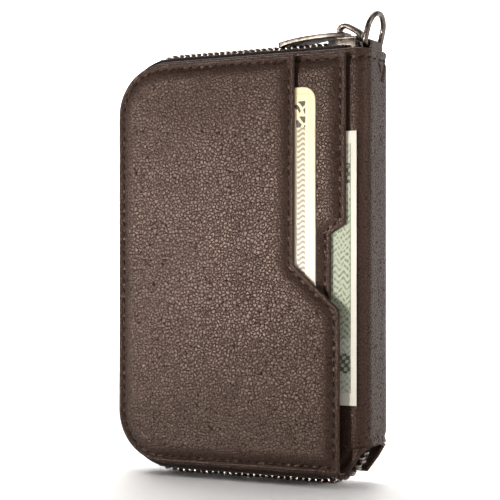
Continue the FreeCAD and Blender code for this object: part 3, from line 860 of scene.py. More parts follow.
def skin_faces(rings: int, width: int, base: int = 0) -> list[list[int]]:
    """Faces of a closed skin with two end caps.

    Args:
        rings: Number of cross-sections.
        width: Points in each cross-section.
        base: Index of the first point.
    """
    faces = []
    for start in range(base, base + (rings - 1) * width, width):
        for corner in range(width):
            other = (corner + 1) % width
            faces.append([start + corner, start + other, start + width + other, start + width + corner])
    faces.append([base + corner for corner in reversed(range(width))])
    faces.append([base + (rings - 1) * width + corner for corner in range(width)])
    return faces


def sweep(
    path: Sequence[Vector],
    binormal: Vector,
    section: Callable[[float], list[Point]],
    closed: bool = False,
) -> tuple[np.ndarray, list[list[int]]]:
    """Carry a cross-section along a path that lies in one plane.

    Args:
        path: Points of the path in millimetres.
        binormal: Direction square to the path's plane.
        section: Cross-section (across the plane, in the plane) for a share of the length.
        closed: True for a ring.

    Returns:
        Vertices and faces.
    """
    total = len(path)
    vertices: list[Vector] = []
    for index, point in enumerate(path):
        before = path[index - 1] if index or closed else point
        after = path[(index + 1) % total] if index < total - 1 or closed else point
        tangent = (after - before).normalized()
        normal = tangent.cross(binormal).normalized()
        share = index / (total - 1)
        vertices += [point + binormal * a + normal * b for a, b in section(share)]
    width = len(vertices) // total
    faces = skin_faces(total, width)
    if closed:
        last = (total - 1) * width
        faces[-2:] = [[last + corner, last + (corner + 1) % width, (corner + 1) % width, corner]
                      for corner in range(width)]
    return np.array([list(vertex) for vertex in vertices]), faces


def oval(width: float, height: float, power: float = 2.0, count: int = 16) -> list[Point]:
    """Closed rounded section: power 2 is an ellipse and a higher power is squarer."""
    points = []
    for step in range(count):
        angle = 2 * math.pi * (step + 0.5) / count
        c, s = math.cos(angle), math.sin(angle)
        points.append((width / 2 * math.copysign(abs(c) ** (2 / power), c),
                       height / 2 * math.copysign(abs(s) ** (2 / power), s)))
    return points


def prism(
    outline: Sequence[Point],
    low: float,
    high: float,
    chamfer: float,
    holes: Sequence[Sequence[Point]] = (),
) -> tuple[np.ndarray, list[list[int]]]:
    """Plate with softened edges, drawn in (x, y) between two heights.

    Args:
        outline: Outer outline.
        low: Underside.
        high: Top side.
        chamfer: Width of the softened edge.
        holes: Inner outlines.

    Returns:
        Vertices and faces.
    """
    shape = bmesh.new()
    for loop in (outline, *holes):
        ring = [shape.verts.new((x, y, low)) for x, y in loop]
        for first, second in zip(ring, ring[1:] + ring[:1]):
            shape.edges.new((first, second))
    bmesh.ops.triangle_fill(shape, use_beauty=True, use_dissolve=True, edges=shape.edges[:])
    raised = bmesh.ops.extrude_face_region(shape, geom=shape.faces[:])
    bmesh.ops.translate(
        shape,
        verts=[item for item in raised["geom"] if isinstance(item, bmesh.types.BMVert)],
        vec=(0, 0, high - low),
    )
    bmesh.ops.recalc_face_normals(shape, faces=shape.faces)
    if chamfer:
        sharp = [edge for edge in shape.edges
                 if edge.is_manifold and edge.calc_face_angle(0) > math.radians(50)]
        bmesh.ops.bevel(shape, geom=sharp, offset=chamfer, segments=3, profile=0.5, affect="EDGES",
                        clamp_overlap=True)
    shape.verts.index_update()
    vertices = np.array([list(vert.co) for vert in shape.verts])
    faces = [[vert.index for vert in face.verts] for face in shape.faces]
    shape.free()
    return vertices, faces


def merge(parts: Sequence[tuple[np.ndarray, list[list[int]]]]) -> tuple[np.ndarray, list[list[int]]]:
    """Put several meshes into one."""
    vertices: list[np.ndarray] = []
    faces: list[list[int]] = []
    base = 0
    for points, polygons in parts:
        vertices.append(points)
        faces += [[base + index for index in polygon] for polygon in polygons]
        base += len(points)
    return np.concatenate(vertices), faces


# ------------------------------------------------------------------------------------------------
# Leather cover
# ------------------------------------------------------------------------------------------------
@dataclass
class Cover:
    """Outer leather of one leaf with its fold and half of the spine."""

    book: Book
    side: Side
    leather: bpy.types.Material
    thread: bpy.types.Material
    seam_inset: float = 2.35
    foot_start: float = 5.9
    foot_rise: float = 6.9
    arch_rise: float = 7.9
    pinch_depth: float = 0.75

    def outline(self) -> list[Point]:
        """Flat cut of the half cover in wrap coordinates."""
        book = self.book
        foot = book.right - self.foot_start
        bend_end = book.fold + book.bend * math.pi / 2
        lower = [
            (foot, book.bottom),
            (foot + 0.3, book.bottom + 0.35),
            (book.fold + 1.6, book.bottom + self.foot_rise - 1.1),
            (book.fold + 2.6, book.bottom + self.foot_rise - 0.3),
            (bend_end, book.bottom + self.foot_rise + 0.2),
            (book.spine_run, book.bottom + self.arch_rise),
        ]
        return leaf_corners(book, 0.0) + lower + [(book.spine_run, book.top)]

    def relief(self, s: np.ndarray, z: np.ndarray, away: np.ndarray) -> np.ndarray:
        """Turned edge, sewn groove, soft unevenness and the pinch at the head of the spine."""
        book = self.book
        rise = groove(away, self.seam_inset, 0.75, 0.36)
        rise += 0.05 * waves(s, z, 17.0, 3.0 + self.side.value) * ramp(away, 3.0, 9.0)
        if self.side is Side.BACK:
            rise += 0.08 * ramp(away, 3.5, 16.0) * (1 - ramp(s, book.fold - 8, book.fold - 1))
        beyond = s - book.fold - book.bend * math.pi / 2
        depth = self.side.value * (book.half - book.bend - beyond)
        tip = (1.9, book.top - 6.4)
        for start in ((-1.0, book.top - 2.0), (4.2, book.top - 2.4)):
            line = segment_distance(depth, z, start, tip)
            rise -= self.pinch_depth * np.exp(-((line / 0.34) ** 2)) * ramp(beyond, -1.0, 0.2)
        swell = np.exp(-(((depth - 1.9) / 1.6) ** 2)) * ramp(z, book.top - 5.5, book.top - 2.6)
        rise += 0.10 * swell * ramp(beyond, -1.0, 0.2)
        return rise

    def build(self) -> list[bpy.types.Object]:
        """Make the leather and its stitches."""
        book = self.book
        wrap = wrap_bend(book, self.side)
        sheet = Sheet(self.outline(), book.leather, 0.62, wrap, self.relief,
                      open_from=book.spine_run - 1e-6, levels=(book.bottom + 9, book.top - 4.5))
        cover = sheet.build(f"cover_leather_{self.side.tag}", self.leather)
        middle = book.middle + self.side.value * book.half
        start = (book.fold * MM, middle * MM, 0)
        end = (book.right * MM, (middle - self.side.value * book.bend) * MM, 0)
        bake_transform(cover)
        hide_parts(f"cover_{self.side.tag}", *(("cover_spine",) if self.side is Side.BACK else ()))
        return [cover] + self._seams(wrap)

    def _seams(self, wrap: Bend) -> list[bpy.types.Object]:
        """Make the border stitches: round the leaf (on the front leaf only a short run along its head), and
        along the head of the spine.
        """
        book = self.book
        inset = self.seam_inset
        from_x = book.fold - 1.2
        foot_x = book.right - self.foot_start - 1.6
        path = [(from_x, book.top - inset)] + leaf_corners(book, inset) + [(foot_x, book.bottom + inset)]
        level = -0.24
        if self.side is Side.FRONT:
            path = [(from_x, book.top - inset), (book.left + 66.2, book.top - inset)]
        around = Seam(path, wrap, level=level).build(f"cover_stitches_{self.side.tag}", self.thread)
        attach(around, self.side.body, None)
        head = [(book.fold + 0.2, book.top - inset), (book.spine_run - 0.2, book.top - inset)]
        spine = Seam(head, wrap, pitch=2.3, level=level)
        top = spine.build(f"spine_stitches_{self.side.tag}", self.thread)
        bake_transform(top)
        return [around, top]


# ------------------------------------------------------------------------------------------------
# Pockets
# ------------------------------------------------------------------------------------------------
def offset_line(points: Sequence[Point], distance: float) -> list[Point]:
    """Line set back to the left of a downward polyline, trimmed to end short of its ends."""
    moved = []
    for index, point in enumerate(points):
        before = points[max(index - 1, 0)]
        after = points[min(index + 1, len(points) - 1)]
        first = unit((point[0] - before[0], point[1] - before[1]))
        second = unit((after[0] - point[0], after[1] - point[1]))
        first, second = (second if index == 0 else first), (first if index == len(points) - 1 else second)
        bisector = unit((first[0] + second[0], first[1] + second[1]))
        spread_out = distance / max(first[0] * bisector[0] + first[1] * bisector[1], 0.5)
        moved.append((point[0] + bisector[1] * spread_out, point[1] - bisector[0] * spread_out))
    moved[0] = (moved[0][0], moved[0][1] - 2 * distance)
    moved[-1] = (moved[-1][0], moved[-1][1] + 2 * distance)
    return moved


def unit(vector: Point) -> Point:
    """Vector of length one; a zero vector stays zero."""
    length = math.hypot(*vector)
    return (vector[0] / length, vector[1] / length) if length else (0.0, 0.0)


def join(name: str, pieces: Sequence[bpy.types.Object]) -> bpy.types.Object:
    """Merge mesh objects that share a material into the first, and rename it."""
    shape = bmesh.new()
    for piece in pieces:
        shape.from_mesh(piece.data)
    shape.to_mesh(pieces[0].data)
    shape.free()
    for piece in pieces[1:]:
        bpy.data.objects.remove(piece)
    pieces[0].name = name
    return pieces[0]


@dataclass(frozen=True)
class Mouth:
    """Stepped cut edge of a pocket: runs from the leaf's left edge, steps from its lower edge."""

    upper: float
    step_top: float
    lower: float
    step_bottom: float
    seed: float
    ease: float = 1.2
    lean: float = 0.1

    def edge(self, book: Book, inset: float) -> list[Point]:
        """Corners of the cut from the head down to the foot, with a short straight at each bend."""
        upper, lower = book.left + self.upper, book.left + self.lower
        leaned = upper - self.lean
        top, bottom = book.bottom + self.step_top, book.bottom + self.step_bottom
        return [
            (upper, book.top - inset),
            (leaned, top + self.ease),
            (leaned + self.lean / 5, top),
            (lower, bottom),
            (lower, bottom - self.ease),
            (lower, book.bottom + inset),
        ]


MOUTHS = {
    "cash_pocket_panel": Mouth(upper=65.6, step_top=61.4, lower=61.5, step_bottom=59.0, seed=5.0),
    "card_pocket_panel": Mouth(upper=52.6, step_top=51.5, lower=64.8, step_bottom=40.7, seed=11.0),
}


@dataclass
class PocketPanel:
    """Leather panel sewn on the front leaf along its head, foot and opening side.

    The cut edge on the spine side stays open; it steps between an upper and a lower run.
    """

    book: Book
    node: str
    face: float
    thickness: float
    edge: list[Point]
    leather: bpy.types.Material
    thread: bpy.types.Material
    seam_inset: float = 1.55
    puff: float = 0.95
    seed: float = 5.0
    inset: float = 1.1

    def outline(self) -> list[Point]:
        """Outline in (s, z): round the opening side, then up the cut edge."""
        corners = leaf_corners(self.book, self.inset)
        return corners + list(reversed(self.edge))

    def relief(self, s: np.ndarray, z: np.ndarray, away: np.ndarray) -> np.ndarray:
        """Seam groove, a slight puff over what the pocket holds, and unevenness."""
        rise = groove(away, self.seam_inset, 0.66, 0.46)
        rise += self.puff * (0.5 * ramp(away, 1.7, 4.6) + 0.5 * ramp(away, 3.0, 22.0))
        rise += 0.16 * waves(s, z, 15.0, self.seed) * ramp(away, 2.5, 9.0)
        rise -= 0.12 * (1 - ramp(away, 0.0, 1.1))
        return rise

    def build(self) -> list[bpy.types.Object]:
        """Make the panel and its border stitches."""
        place = flat_bend(self.book, Side.FRONT, self.face)
        sheet = Sheet(self.outline(), self.thickness, 0.46, place, self.relief, backing=0.75,
                      levels=tuple(z for _, z in self.edge))
        panel = attach(sheet.build(f"{self.node}_leather", self.leather), Part.FRONT, "leather",
                       self.node)
        book = self.book
        depth = self.inset + self.seam_inset
        top_x = self.edge[0][0] - self.seam_inset
        low_x = self.edge[-1][0] - self.seam_inset
        cut = offset_line(self.edge, self.seam_inset)
        around = [(top_x, book.top - depth), *leaf_corners(book, depth), (low_x, book.bottom + depth)]
        rows = []
        for path in (around, cut):
            rows.append(Seam(path, place, level=-0.34).build("row", self.thread))
        seam = join(f"{self.node}_stitches", rows)
        return [panel, attach(seam, Part.FRONT, None)]


# ------------------------------------------------------------------------------------------------
# Contents
# ------------------------------------------------------------------------------------------------
def slab_outline(low: Point, high: Point, radius: float, count: int = 8) -> list[Point]:
    """Rounded rectangle, counter-clockwise."""
    x0, z0 = low
    x1, z1 = high
    return (arc((x1 - radius, z1 - radius), radius, 0, 90, count)
            + arc((x0 + radius, z1 - radius), radius, 90, 180, count)
            + arc((x0 + radius, z0 + radius), radius, 180, 270, count)
            + arc((x1 - radius, z0 + radius), radius, 270, 360, count))


@dataclass
class Card:
    """Payment card with an engraved strip near its long edge."""

    low: Vector
    high: Vector
    radius: float = 3.18

    def build(self) -> bpy.types.Object:
        """Make the card."""
        outline = slab_outline((self.low.x, self.low.z), (self.high.x, self.high.z), self.radius)
        vertices, faces = prism(outline, self.low.y, self.high.y, 0.12)
        vertices = vertices[:, [0, 2, 1]]
        stock = CardStock("card_print", self.high.x, self.high.z).make()
        piece = make_piece("card_sheet", vertices, faces, stock, 40)
        return attach(piece, Part.CARD, "card", "card")


@dataclass
class Notes:
    """Two folded banknotes with their folds at the visible side, one a little behind the other."""

    low: Vector
    high: Vector
    paper: float = 0.095

    def build(self) -> list[bpy.types.Object]:
        """Make the folded notes."""
        print_finish = NotePaper("note_print", self.high.x, self.low.z, self.high.z - self.low.z).make()
        made = []
        for index, (inset, drop) in enumerate(((0.0, 0.0), (0.55, 0.35))):
            front = self.low.y + 0.02 + index * 0.155
            made.append(self._fold(f"note_{index + 1}", front, self.high.x - inset, drop, print_finish))
        first, second = made
        attach(first, Part.NOTES, "paper", "banknotes")
        attach(second, Part.NOTES, "paper")
        return made

    def _fold(self, name: str, front: float, right: float, drop: float,
              finish: bpy.types.Material) -> bpy.types.Object:
        """Make one folded note as a closed strip carried up its height.

        Args:
            name: Piece name.
            front: Y of its front face.
            right: X of the fold.
            drop: How much lower its top edge is.
            finish: Printed paper.
        """
        gap = 0.028
        half = self.paper / 2
        near_fold = right - np.array([1.0, 0.6, 0.3])
        columns = np.concatenate([np.linspace(self.low.x, right - 1.5, 34), near_fold])
        rows = np.linspace(self.low.z + 0.02, self.high.z - drop, 50)
        section: list[tuple[float, float]] = [(x, 0.0) for x in columns]
        section += [(right - 0.10, 0.01), (right, half + gap / 2 + 0.02), (right - 0.10, 2 * half + gap)]
        section += [(x, 2 * half + gap) for x in columns[::-1]]
        vertices = []
        for z in rows:
            lift = 0.020 * noise.noise(Vector((0.0, z / 9.0, front)))
            for x, y in section:
                curl = 0.05 * math.exp(-((right - x) / 3.0) ** 2) * math.sin(z / 7.0 + front)
                vertices.append((x, front + y * 0.62 + max(-0.015, lift + curl * 0.3), z))
        faces = skin_faces(len(rows), len(section))
        return make_piece(name, np.array(vertices), faces, finish, 40)


# ------------------------------------------------------------------------------------------------
# Zip
# ------------------------------------------------------------------------------------------------
@dataclass
class Route:
    """Line of the zip round the leaves, seen from the front: from the spine end of the head,
    round the opening side, to the foot of the spine, then up into it."""

    book: Book
    top_end: float
    look: float = 0.05

    def points(self) -> list[Point]:
        """Corners and bends of the route."""
        book = self.book
        radius = book.corner
        centre_x = book.left + book.corner
        line = [(self.top_end, book.top)]
        line += arc((centre_x, book.top - book.corner), radius, 90, 180, 24)
        line += arc((centre_x, book.bottom + book.corner), radius, 180, 270, 24)
        foot = book.left + book.foot_x
        line += arc((foot, book.bottom + book.foot_bend), book.foot_bend, 270, 270 + book.foot_turn, 18)
        return line

    def stations(self, pitch: float, shift: float) -> list[tuple[Vector, Vector]]:
        """Equally spaced points with the outward direction at each."""
        line = np.array(self.points())
        lengths = np.concatenate([[0], np.cumsum(np.hypot(*np.diff(line, axis=0).T))])

        def at(mark: float) -> Vector:
            """Point at a distance along the route."""
            return Vector((np.interp(mark, lengths, line[:, 0]), 0, np.interp(mark, lengths, line[:, 1])))

        found = []
        for mark in np.arange(shift, lengths[-1], pitch):
            along = (at(mark + self.look) - at(mark - self.look)).normalized()
            found.append((at(mark), Vector((along.z, 0, -along.x))))
        return found


@dataclass
class Zip:
    """Tape and teeth of one leaf."""

    book: Book
    side: Side
    tape: bpy.types.Material
    metal: bpy.types.Material
    pitch: float = 1.75
    rise: float = 2.5
    tape_low: float = 0.5
    reach: float = 0.62
    half_chain: float = 2.2
    tail: float = 63.9

    def build(self) -> list[bpy.types.Object]:
        """Make the teeth and the tape."""
        return [self._teeth(), self._tape()]

    def _tooth_shape(self) -> list[tuple[float, float, float]]:
        """Corners of a tooth: (toward the middle, outward, half thickness)."""
        low = self.tape_low + 0.1
        high = self.rise
        inner = -self.reach
        outer = self.half_chain
        return [
            (outer, low + 0.25, 0.30), (outer, high - 0.55, 0.28), (outer - 0.35, high - 0.16, 0.28),
            (0.9, high, 0.31), (0.25, high - 0.02, 0.33), (inner + 0.12, high - 0.22, 0.37),
            (inner, high - 0.62, 0.36), (inner + 0.05, low + 0.42, 0.34), (inner + 0.3, low + 0.22, 0.30),
            (0.9, low, 0.28),
        ]

    def _teeth(self) -> bpy.types.Object:
        """Make the row of metal teeth with rounded, cupped heads."""
        book = self.book
        shape = self._tooth_shape()
        shift = 0.35 if self.side is Side.FRONT else 0.35 + self.pitch / 2
        stations = Route(book, book.left + self.tail).stations(self.pitch, shift)
        vertices: list[list[float]] = []
        faces: list[list[int]] = []
        sign = self.side.value
        width = len(shape)
        layers = ((-1.0, 0.80), (-0.62, 1.0), (0.62, 1.0), (1.0, 0.80))
        for here, out in stations:
            along = Vector((out.z, 0, -out.x))
            base = len(vertices)
            centre_a = sum(a for a, _, _ in shape) / width
            centre_b = sum(b for _, b, _ in shape) / width
            for level, shrink in layers:
                for a, b, thick in shape:
                    a2 = centre_a + (a - centre_a) * (1 - (1 - shrink) * 0.55)
                    b2 = centre_b + (b - centre_b) * shrink
                    point = here + out * b2 + along * (thick * level * 1.12)
                    vertices.append([point.x, book.middle + sign * a2, point.z])
            faces += skin_faces(len(layers), width, base)
        piece = make_piece(f"zip_row_{self.side.tag}", np.array(vertices), faces, self.metal, 35)
        return attach(piece, self.side.body, "zip_metal", f"zip_teeth_{self.side.tag}")

    def _tape(self) -> bpy.types.Object:
        """Make the tape: its web outside the leather, its bead under the teeth, and the sewn leg."""
        book = self.book
        line = Route(book, book.left + self.tail - 0.2).stations(0.8, 0.05)
        sign = self.side.value
        inner_face = self._leg_face()
        profile = [
            (0.22, 0.5), (0.42, 1.02), (1.3, 1.06), (inner_face + 0.02, 1.02), (inner_face + 0.36, 0.75),
            (inner_face + 0.36, 0.0), (inner_face + 0.30, -5.0), (inner_face - 0.02, -5.0),
            (inner_face - 0.16, -0.3), (inner_face - 0.35, 0.42), (1.2, 0.48), (0.42, 0.46),
        ]
        vertices = []
        for here, out in line:
            for a, b in profile:
                point = here + out * b
                vertices.append([point.x, book.middle + sign * a, point.z])
        faces = skin_faces(len(line), len(profile))
        piece = make_piece(f"zip_tape_cloth_{self.side.tag}", np.array(vertices), faces, self.tape, 50)
        return attach(piece, self.side.body, "zip_tape", f"zip_tape_{self.side.tag}")

    def _leg_face(self) -> float:
        """Distance of the sewn leg from the middle plane, just inside the cover."""
        return self.book.half - self.book.leather - 0.42


@dataclass
class Slider:
    """Zip slider in slide coordinates: x along the chain, y across it, z up from the leather."""

    low: Vector
    high: Vector
    bridge_low: Vector
    bridge_high: Vector
    middle: float
    metal: bpy.types.Material
    plate: float = 0.75

    def build(self) -> list[bpy.types.Object]:
        """Make the body with its two plates, walls and post, then the hooked bridge."""
        nose, tail = self.low.x, self.high.x
        half = (self.high.y - self.low.y) / 2
        top, bottom = self.high.z, self.low.z
        shoulder = nose + (tail - nose) * 0.36
        outline = ([(nose + 0.5, -half * 0.60), (nose + 0.1, -half * 0.42), (nose, 0.0),
                    (nose + 0.1, half * 0.42), (nose + 0.5, half * 0.60)]
                   + [(shoulder, half * 0.96), (shoulder + 0.8, half)]
                   + [(tail - 0.7, half), (tail - 0.1, half - 0.5), (tail, half - 0.9)]
                   + [(tail - 1.1, 0.55), (tail - 1.4, 0.0), (tail - 1.1, -0.55)]
                   + [(tail, -half + 0.9), (tail - 0.1, -half + 0.5), (tail - 0.7, -half)]
                   + [(shoulder + 0.8, -half), (shoulder, -half * 0.96)])
        outline = [(x, self.middle + y) for x, y in outline]
        upper = prism(outline, top - self.plate, top, 0.22)
        lower_outline = [(x, self.middle + (y - self.middle) * 0.94) for x, y in outline]
        lower = prism(lower_outline, bottom, bottom + self.plate, 0.2)
        parts = [upper, lower]
        wall = 0.62
        for side in (-1, 1):
            edge = [(nose + 0.5, half * 0.60), (shoulder, half * 0.96), (shoulder + 0.8, half),
                    (tail - 0.7, half)]
            inner = [(x, y - wall) for x, y in reversed(edge)]
            flank = [(x, self.middle + side * y) for x, y in edge + inner]
            flank = flank if side < 0 else list(reversed(flank))
            parts.append(prism(flank, bottom + 0.9, top - self.plate + 0.1, 0.10))
            flank_low = [(x, self.middle + side * y * 0.94) for x, y in edge + inner]
            flank_low = flank_low if side < 0 else list(reversed(flank_low))
            parts.append(prism(flank_low, bottom + self.plate - 0.1, bottom + 0.95, 0.05))
        post = slab_outline((tail - 4.1, self.middle - 0.5), (tail - 1.5, self.middle + 0.5), 0.45)
        parts.append(prism(post, bottom + 0.3, top - 0.3, 0.0))
        body = make_piece("slider_shell", *merge(parts), self.metal, 32)
        attach(body, Part.SLIDER, "slider_metal", "slider_body")
        return [body, self._bridge(top)]

    def _bridge(self, top: float) -> bpy.types.Object:
        """Make the arched strap that holds the pull tab: broad foot, narrower hooked nose."""
        low, high = self.bridge_low, self.bridge_high
        crown = high.z
        outer = high.x
        base = top - 0.25
        hook = low.x
        line = [
            (outer - 0.85, base), (outer - 0.80, base + 0.55), (outer - 1.15, base + 1.25),
            (outer - 2.15, base + 2.00), (outer - 3.40, base + 2.70), (hook + 2.60, crown - 0.62),
            (hook + 1.60, crown - 0.56), (hook + 0.75, crown - 1.05), (hook + 0.52, crown - 1.80),
            (hook + 0.85, crown - 2.55), (hook + 1.20, base + 0.7), (hook + 1.30, base),
        ]
        path = smooth_path([Vector((x, self.middle, z)) for x, z in line], 5)
        width = high.y - low.y

        def section(share: float) -> list[Point]:
            """Strap section: broad at the tail foot, slimmer towards the hook."""
            slim = 1.0 - 0.22 * min(1.0, share * 1.6)
            thick = 1.38 + 0.30 * math.exp(-((share / 0.34) ** 2)) - 0.12 * share
            return oval(width * slim, thick, 3.2, 20)

        vertices, faces = sweep(path, Vector((0, 1, 0)), section)
        piece = make_piece("slider_hook", vertices, faces, self.metal, 45)
        return attach(piece, Part.SLIDER, "slider_metal", "slider_bridge")


def smooth_path(points: Sequence[Vector], count: int) -> list[Vector]:
    """Catmull-Rom curve through the given points.

    Args:
        points: Points that the curve passes.
        count: Steps between two of them.
    """
    ends = [points[0] * 2 - points[1], *points, points[-1] * 2 - points[-2]]
    path = []
    for a, b, c, d in zip(ends, ends[1:], ends[2:], ends[3:]):
        for step in range(count):
            t = step / count
            path.append(0.5 * (b * 2 + (c - a) * t + (a * 2 - b * 5 + c * 4 - d) * t * t
                               + (b * 3 - a - c * 3 + d) * t ** 3))
    return path + [points[-1]]


@dataclass
class PullTab:
    """Flat pull tab with an eye that hangs in the bridge."""

    pivot: Vector
    low: Vector
    high: Vector
    metal: bpy.types.Material
    # Darker metal for the downward faces: painted shade under the tab.
    painted_shade: bpy.types.Material
    length: float = 18.1
    thickness: float = 0.95
    tilt: float = 3.3
    arch: float = 0.30

    def build(self) -> bpy.types.Object:
        """Make the tab lying back along the chain, sloping down to its tip."""
        half = (self.high.y - self.low.y) / 2
        neck = half * 0.86
        outline = (arc((-self.length + 1.2, 0.0 + half - 1.2), 1.2, 180, 90, 6)
                   + [(x, half) for x in np.linspace(-self.length + 2.2, -5.0, 9)]
                   + [(-3.2, half), (-1.6, neck), (0.4, neck * 0.98)]
                   + arc((1.5, 0), neck * 0.72, 78, -78, 12)
                   + [(0.4, -neck * 0.98), (-1.6, -neck), (-3.2, -half)]
                   + [(x, -half) for x in np.linspace(-5.0, -self.length + 2.2, 9)]
                   + arc((-self.length + 1.2, -half + 1.2), 1.2, 270, 180, 6))
        reach = self.high.x - self.pivot.x
        outline = [(min(x, reach - 0.02), y) for x, y in outline]
        outline = dedupe(outline)
        eye_width = 1.42
        eye = slab_outline((-1.42, -eye_width), (reach - 0.95, eye_width), 0.5, 5)
        slot = slab_outline((-self.length + 1.5, -1.3), (-self.length + 3.6, 1.3), 0.9, 5)
        vertices, faces = prism(outline, -self.thickness / 2, self.thickness / 2, 0.17, [eye, slot])
        turn = Matrix.Rotation(-math.radians(self.tilt), 3, "Y")
        placed = []
        for x, y, z in vertices:
            share = min(max(-x / self.length, 0.0), 1.0)
            arch = self.arch * math.sin(math.pi * min(share * 1.08, 1.0)) - 0.45 * share ** 7
            lip = min(z, 0.0) * 0.9 * share ** 10
            placed.append(list(turn @ Vector((x, y, z + arch + lip)) + self.pivot))
        piece = make_piece("pull_tab_plate", np.array(placed), faces, self.metal, 32)
        # Faces that point down get the darker metal: painted shade under the tab.
        piece.data.materials.append(self.painted_shade)
        for face in piece.data.polygons:
            face.material_index = int(face.normal.z < -0.5)
        return attach(piece, Part.PULL, "slider_metal", "pull_tab")


def dedupe(points: Sequence[Point]) -> list[Point]:
    """Drop points that repeat the one before."""
    kept: list[Point] = []
    for point in points:
        if not kept or math.hypot(point[0] - kept[-1][0], point[1] - kept[-1][1]) > 1e-4:
            kept.append(point)
    return kept


# ------------------------------------------------------------------------------------------------
# Ring and loop
# ------------------------------------------------------------------------------------------------
@dataclass
class DRing:
    """Bent wire ring: straight bar at the foot and a round crown, leaning a little."""

    bar: Vector
    metal: bpy.types.Material
    wire: float = 1.45
    width: float = 8.7
    height: float = 8.0
    lean: float = 13.5
    corner: float = 1.3

    def build(self) -> bpy.types.Object:
        """Make the ring."""
        half = self.width / 2
        crown = self.height - half
        line = [(x, 0.0) for x in np.linspace(-half + self.corner, half - self.corner, 8)]
        line += arc((half - self.corner, self.corner), self.corner, 270, 360, 7)[1:]
        line += arc((0.0, crown), half, 0, 180, 30)
        line += arc((-half + self.corner, self.corner), self.corner, 180, 270, 7)[:-1]
        path = [Vector((0.0, y, z)) for y, z in dedupe(line)]
        vertices, faces = sweep(path, Vector((1, 0, 0)), lambda share: oval(self.wire, self.wire, 2.0, 18),
                                closed=True)
        turn = Matrix.Rotation(math.radians(self.lean), 3, "Y")
        placed = [list(turn @ Vector(vertex) + self.bar) for vertex in vertices]
        piece = make_piece("ring_wire", np.array(placed), faces, self.metal, 60)
        return attach(piece, Part.RING, "ring_metal", "d_ring")


@dataclass
class Loop:
    """Leather loop that holds the ring's bar; its legs are sewn down inside the spine."""

    low: Vector
    high: Vector
    bar: Vector
    edging: bpy.types.Material
    strap: float = 0.66
    clearance: float = 0.16

    def build(self) -> bpy.types.Object:
        """Make the strap: down one side, over the bar and down the other."""
        mid = (self.low.y + self.high.y) / 2
        inner = self.strap / 2 + self.clearance + 0.7
        crest = self.bar.z
        foot = self.low.z
        left, right = self.low.x + self.strap / 2, self.high.x - self.strap / 2
        centre = (left + right) / 2
        radius = (right - left) / 2
        line = [(left, z) for z in np.linspace(foot, crest - 0.1, 10)]
        ceiling = self.high.z - self.strap / 2
        line += [(centre - radius * math.cos(a), min(crest + inner * math.sin(a), ceiling))
                 for a in np.linspace(0.1, math.pi - 0.1, 18)]
        line += [(right, z) for z in np.linspace(crest - 0.1, foot, 10)]
        path = [Vector((x, mid, z)) for x, z in dedupe(line)]
        width = self.high.y - self.low.y - 0.2
        vertices, faces = sweep(path, Vector((0, 1, 0)), lambda share: oval(width, self.strap, 7.0, 36))
        wobble = [
            [x, y, z + 0.05 * noise.noise(Vector((x / 2.0, y / 2.0, z / 2.0)))] for x, y, z in vertices
        ]
        piece = make_piece("ring_loop", np.array(wobble), faces, self.edging, 50)
        return attach(piece, Part.SPINE, "leather_edge", "ring_tab")


# ------------------------------------------------------------------------------------------------
# Inside
# ------------------------------------------------------------------------------------------------
@dataclass
class Inside:
    """Lining of a leaf with a card pocket sewn on it."""

    book: Book
    side: Side
    lining: bpy.types.Material
    thread: bpy.types.Material

    def build(self) -> list[bpy.types.Object]:
        """Make the lining, the pocket and its stitches."""
        return [self._lining(), *self._pocket()]

    def _face(self, node: str, inner: bool) -> float:
        """Distance from the middle plane to one face of a node."""
        low, high = node_box(node)
        near, far = sorted((abs(low.y - self.book.middle), abs(high.y - self.book.middle)))
        return near if inner else far

    def _lining(self) -> bpy.types.Object:
        """Make the cloth that covers the inside of the leaf."""
        node = f"lining_{self.side.tag}"
        low, high = node_box(node)
        near, far = self._face(node, True), self._face(node, False)
        inset = low.x - self.book.left
        outline = leaf_corners(self.book, inset) + [
            (high.x - self.book.foot_bend, low.z), (high.x, low.z + self.book.foot_bend), (high.x, high.z)]
        sheet = Sheet(outline, far - near, 0.28, inward_bend(self.book, self.side, near),
                      lambda s, z, away: 0.05 * waves(s, z, 11.0, 9.0) * ramp(away, 1, 6) - 0.04)
        piece = sheet.build(f"{node}_cloth", self.lining)
        return attach(piece, self.side.body, "lining", node)

    def _pocket(self) -> list[bpy.types.Object]:
        """Make the card pocket: a panel with a bound mouth, stepped off the lining."""
        node = f"inner_pocket_{self.side.tag}"
        low, high = node_box(node)
        near, far = self._face(node, True), self._face(node, False)
        outline = [(low.x, high.z), (low.x, low.z), (high.x, low.z), (high.x, high.z)]
        border = 2.4
        gap = 0.7

        def shape(s: np.ndarray, z: np.ndarray, away: np.ndarray) -> np.ndarray:
            """Sewn border pressed down to the lining, hollow middle stood off it."""
            inner = np.minimum.reduce([s - low.x, high.x - s, z - low.z])
            mouth = np.exp(-(((high.z - z - 1.6) / 0.35) ** 2))
            return (-gap * (1 - ramp(inner, border - 0.7, border + 0.9)) * 0.9
                    - 0.10 * mouth * ramp(inner, 0.5, 3.0)
                    - 0.12 * np.exp(-(((inner - 1.15) / 0.35) ** 2)) - 0.02)

        sheet = Sheet(outline, far - near - gap, 0.3, inward_bend(self.book, self.side, near), shape,
                      backing=1.0, levels=(high.z - 1.2, high.z - 1.6, high.z - 2.0))
        piece = sheet.build(f"{node}_cloth", self.lining)
        attach(piece, self.side.body, "lining", node)
        path = [(low.x + 1.15, high.z - 0.6), (low.x + 1.15, low.z + 1.15),
                (high.x - 1.15, low.z + 1.15), (high.x - 1.15, high.z - 0.6)]
        seam = Seam(path, inward_bend(self.book, self.side, near + gap * 0.9), level=-0.12, lift=0.12)
        stitches = seam.build(f"{node}_stitches", self.thread)
        return [piece, attach(stitches, self.side.body, None)]


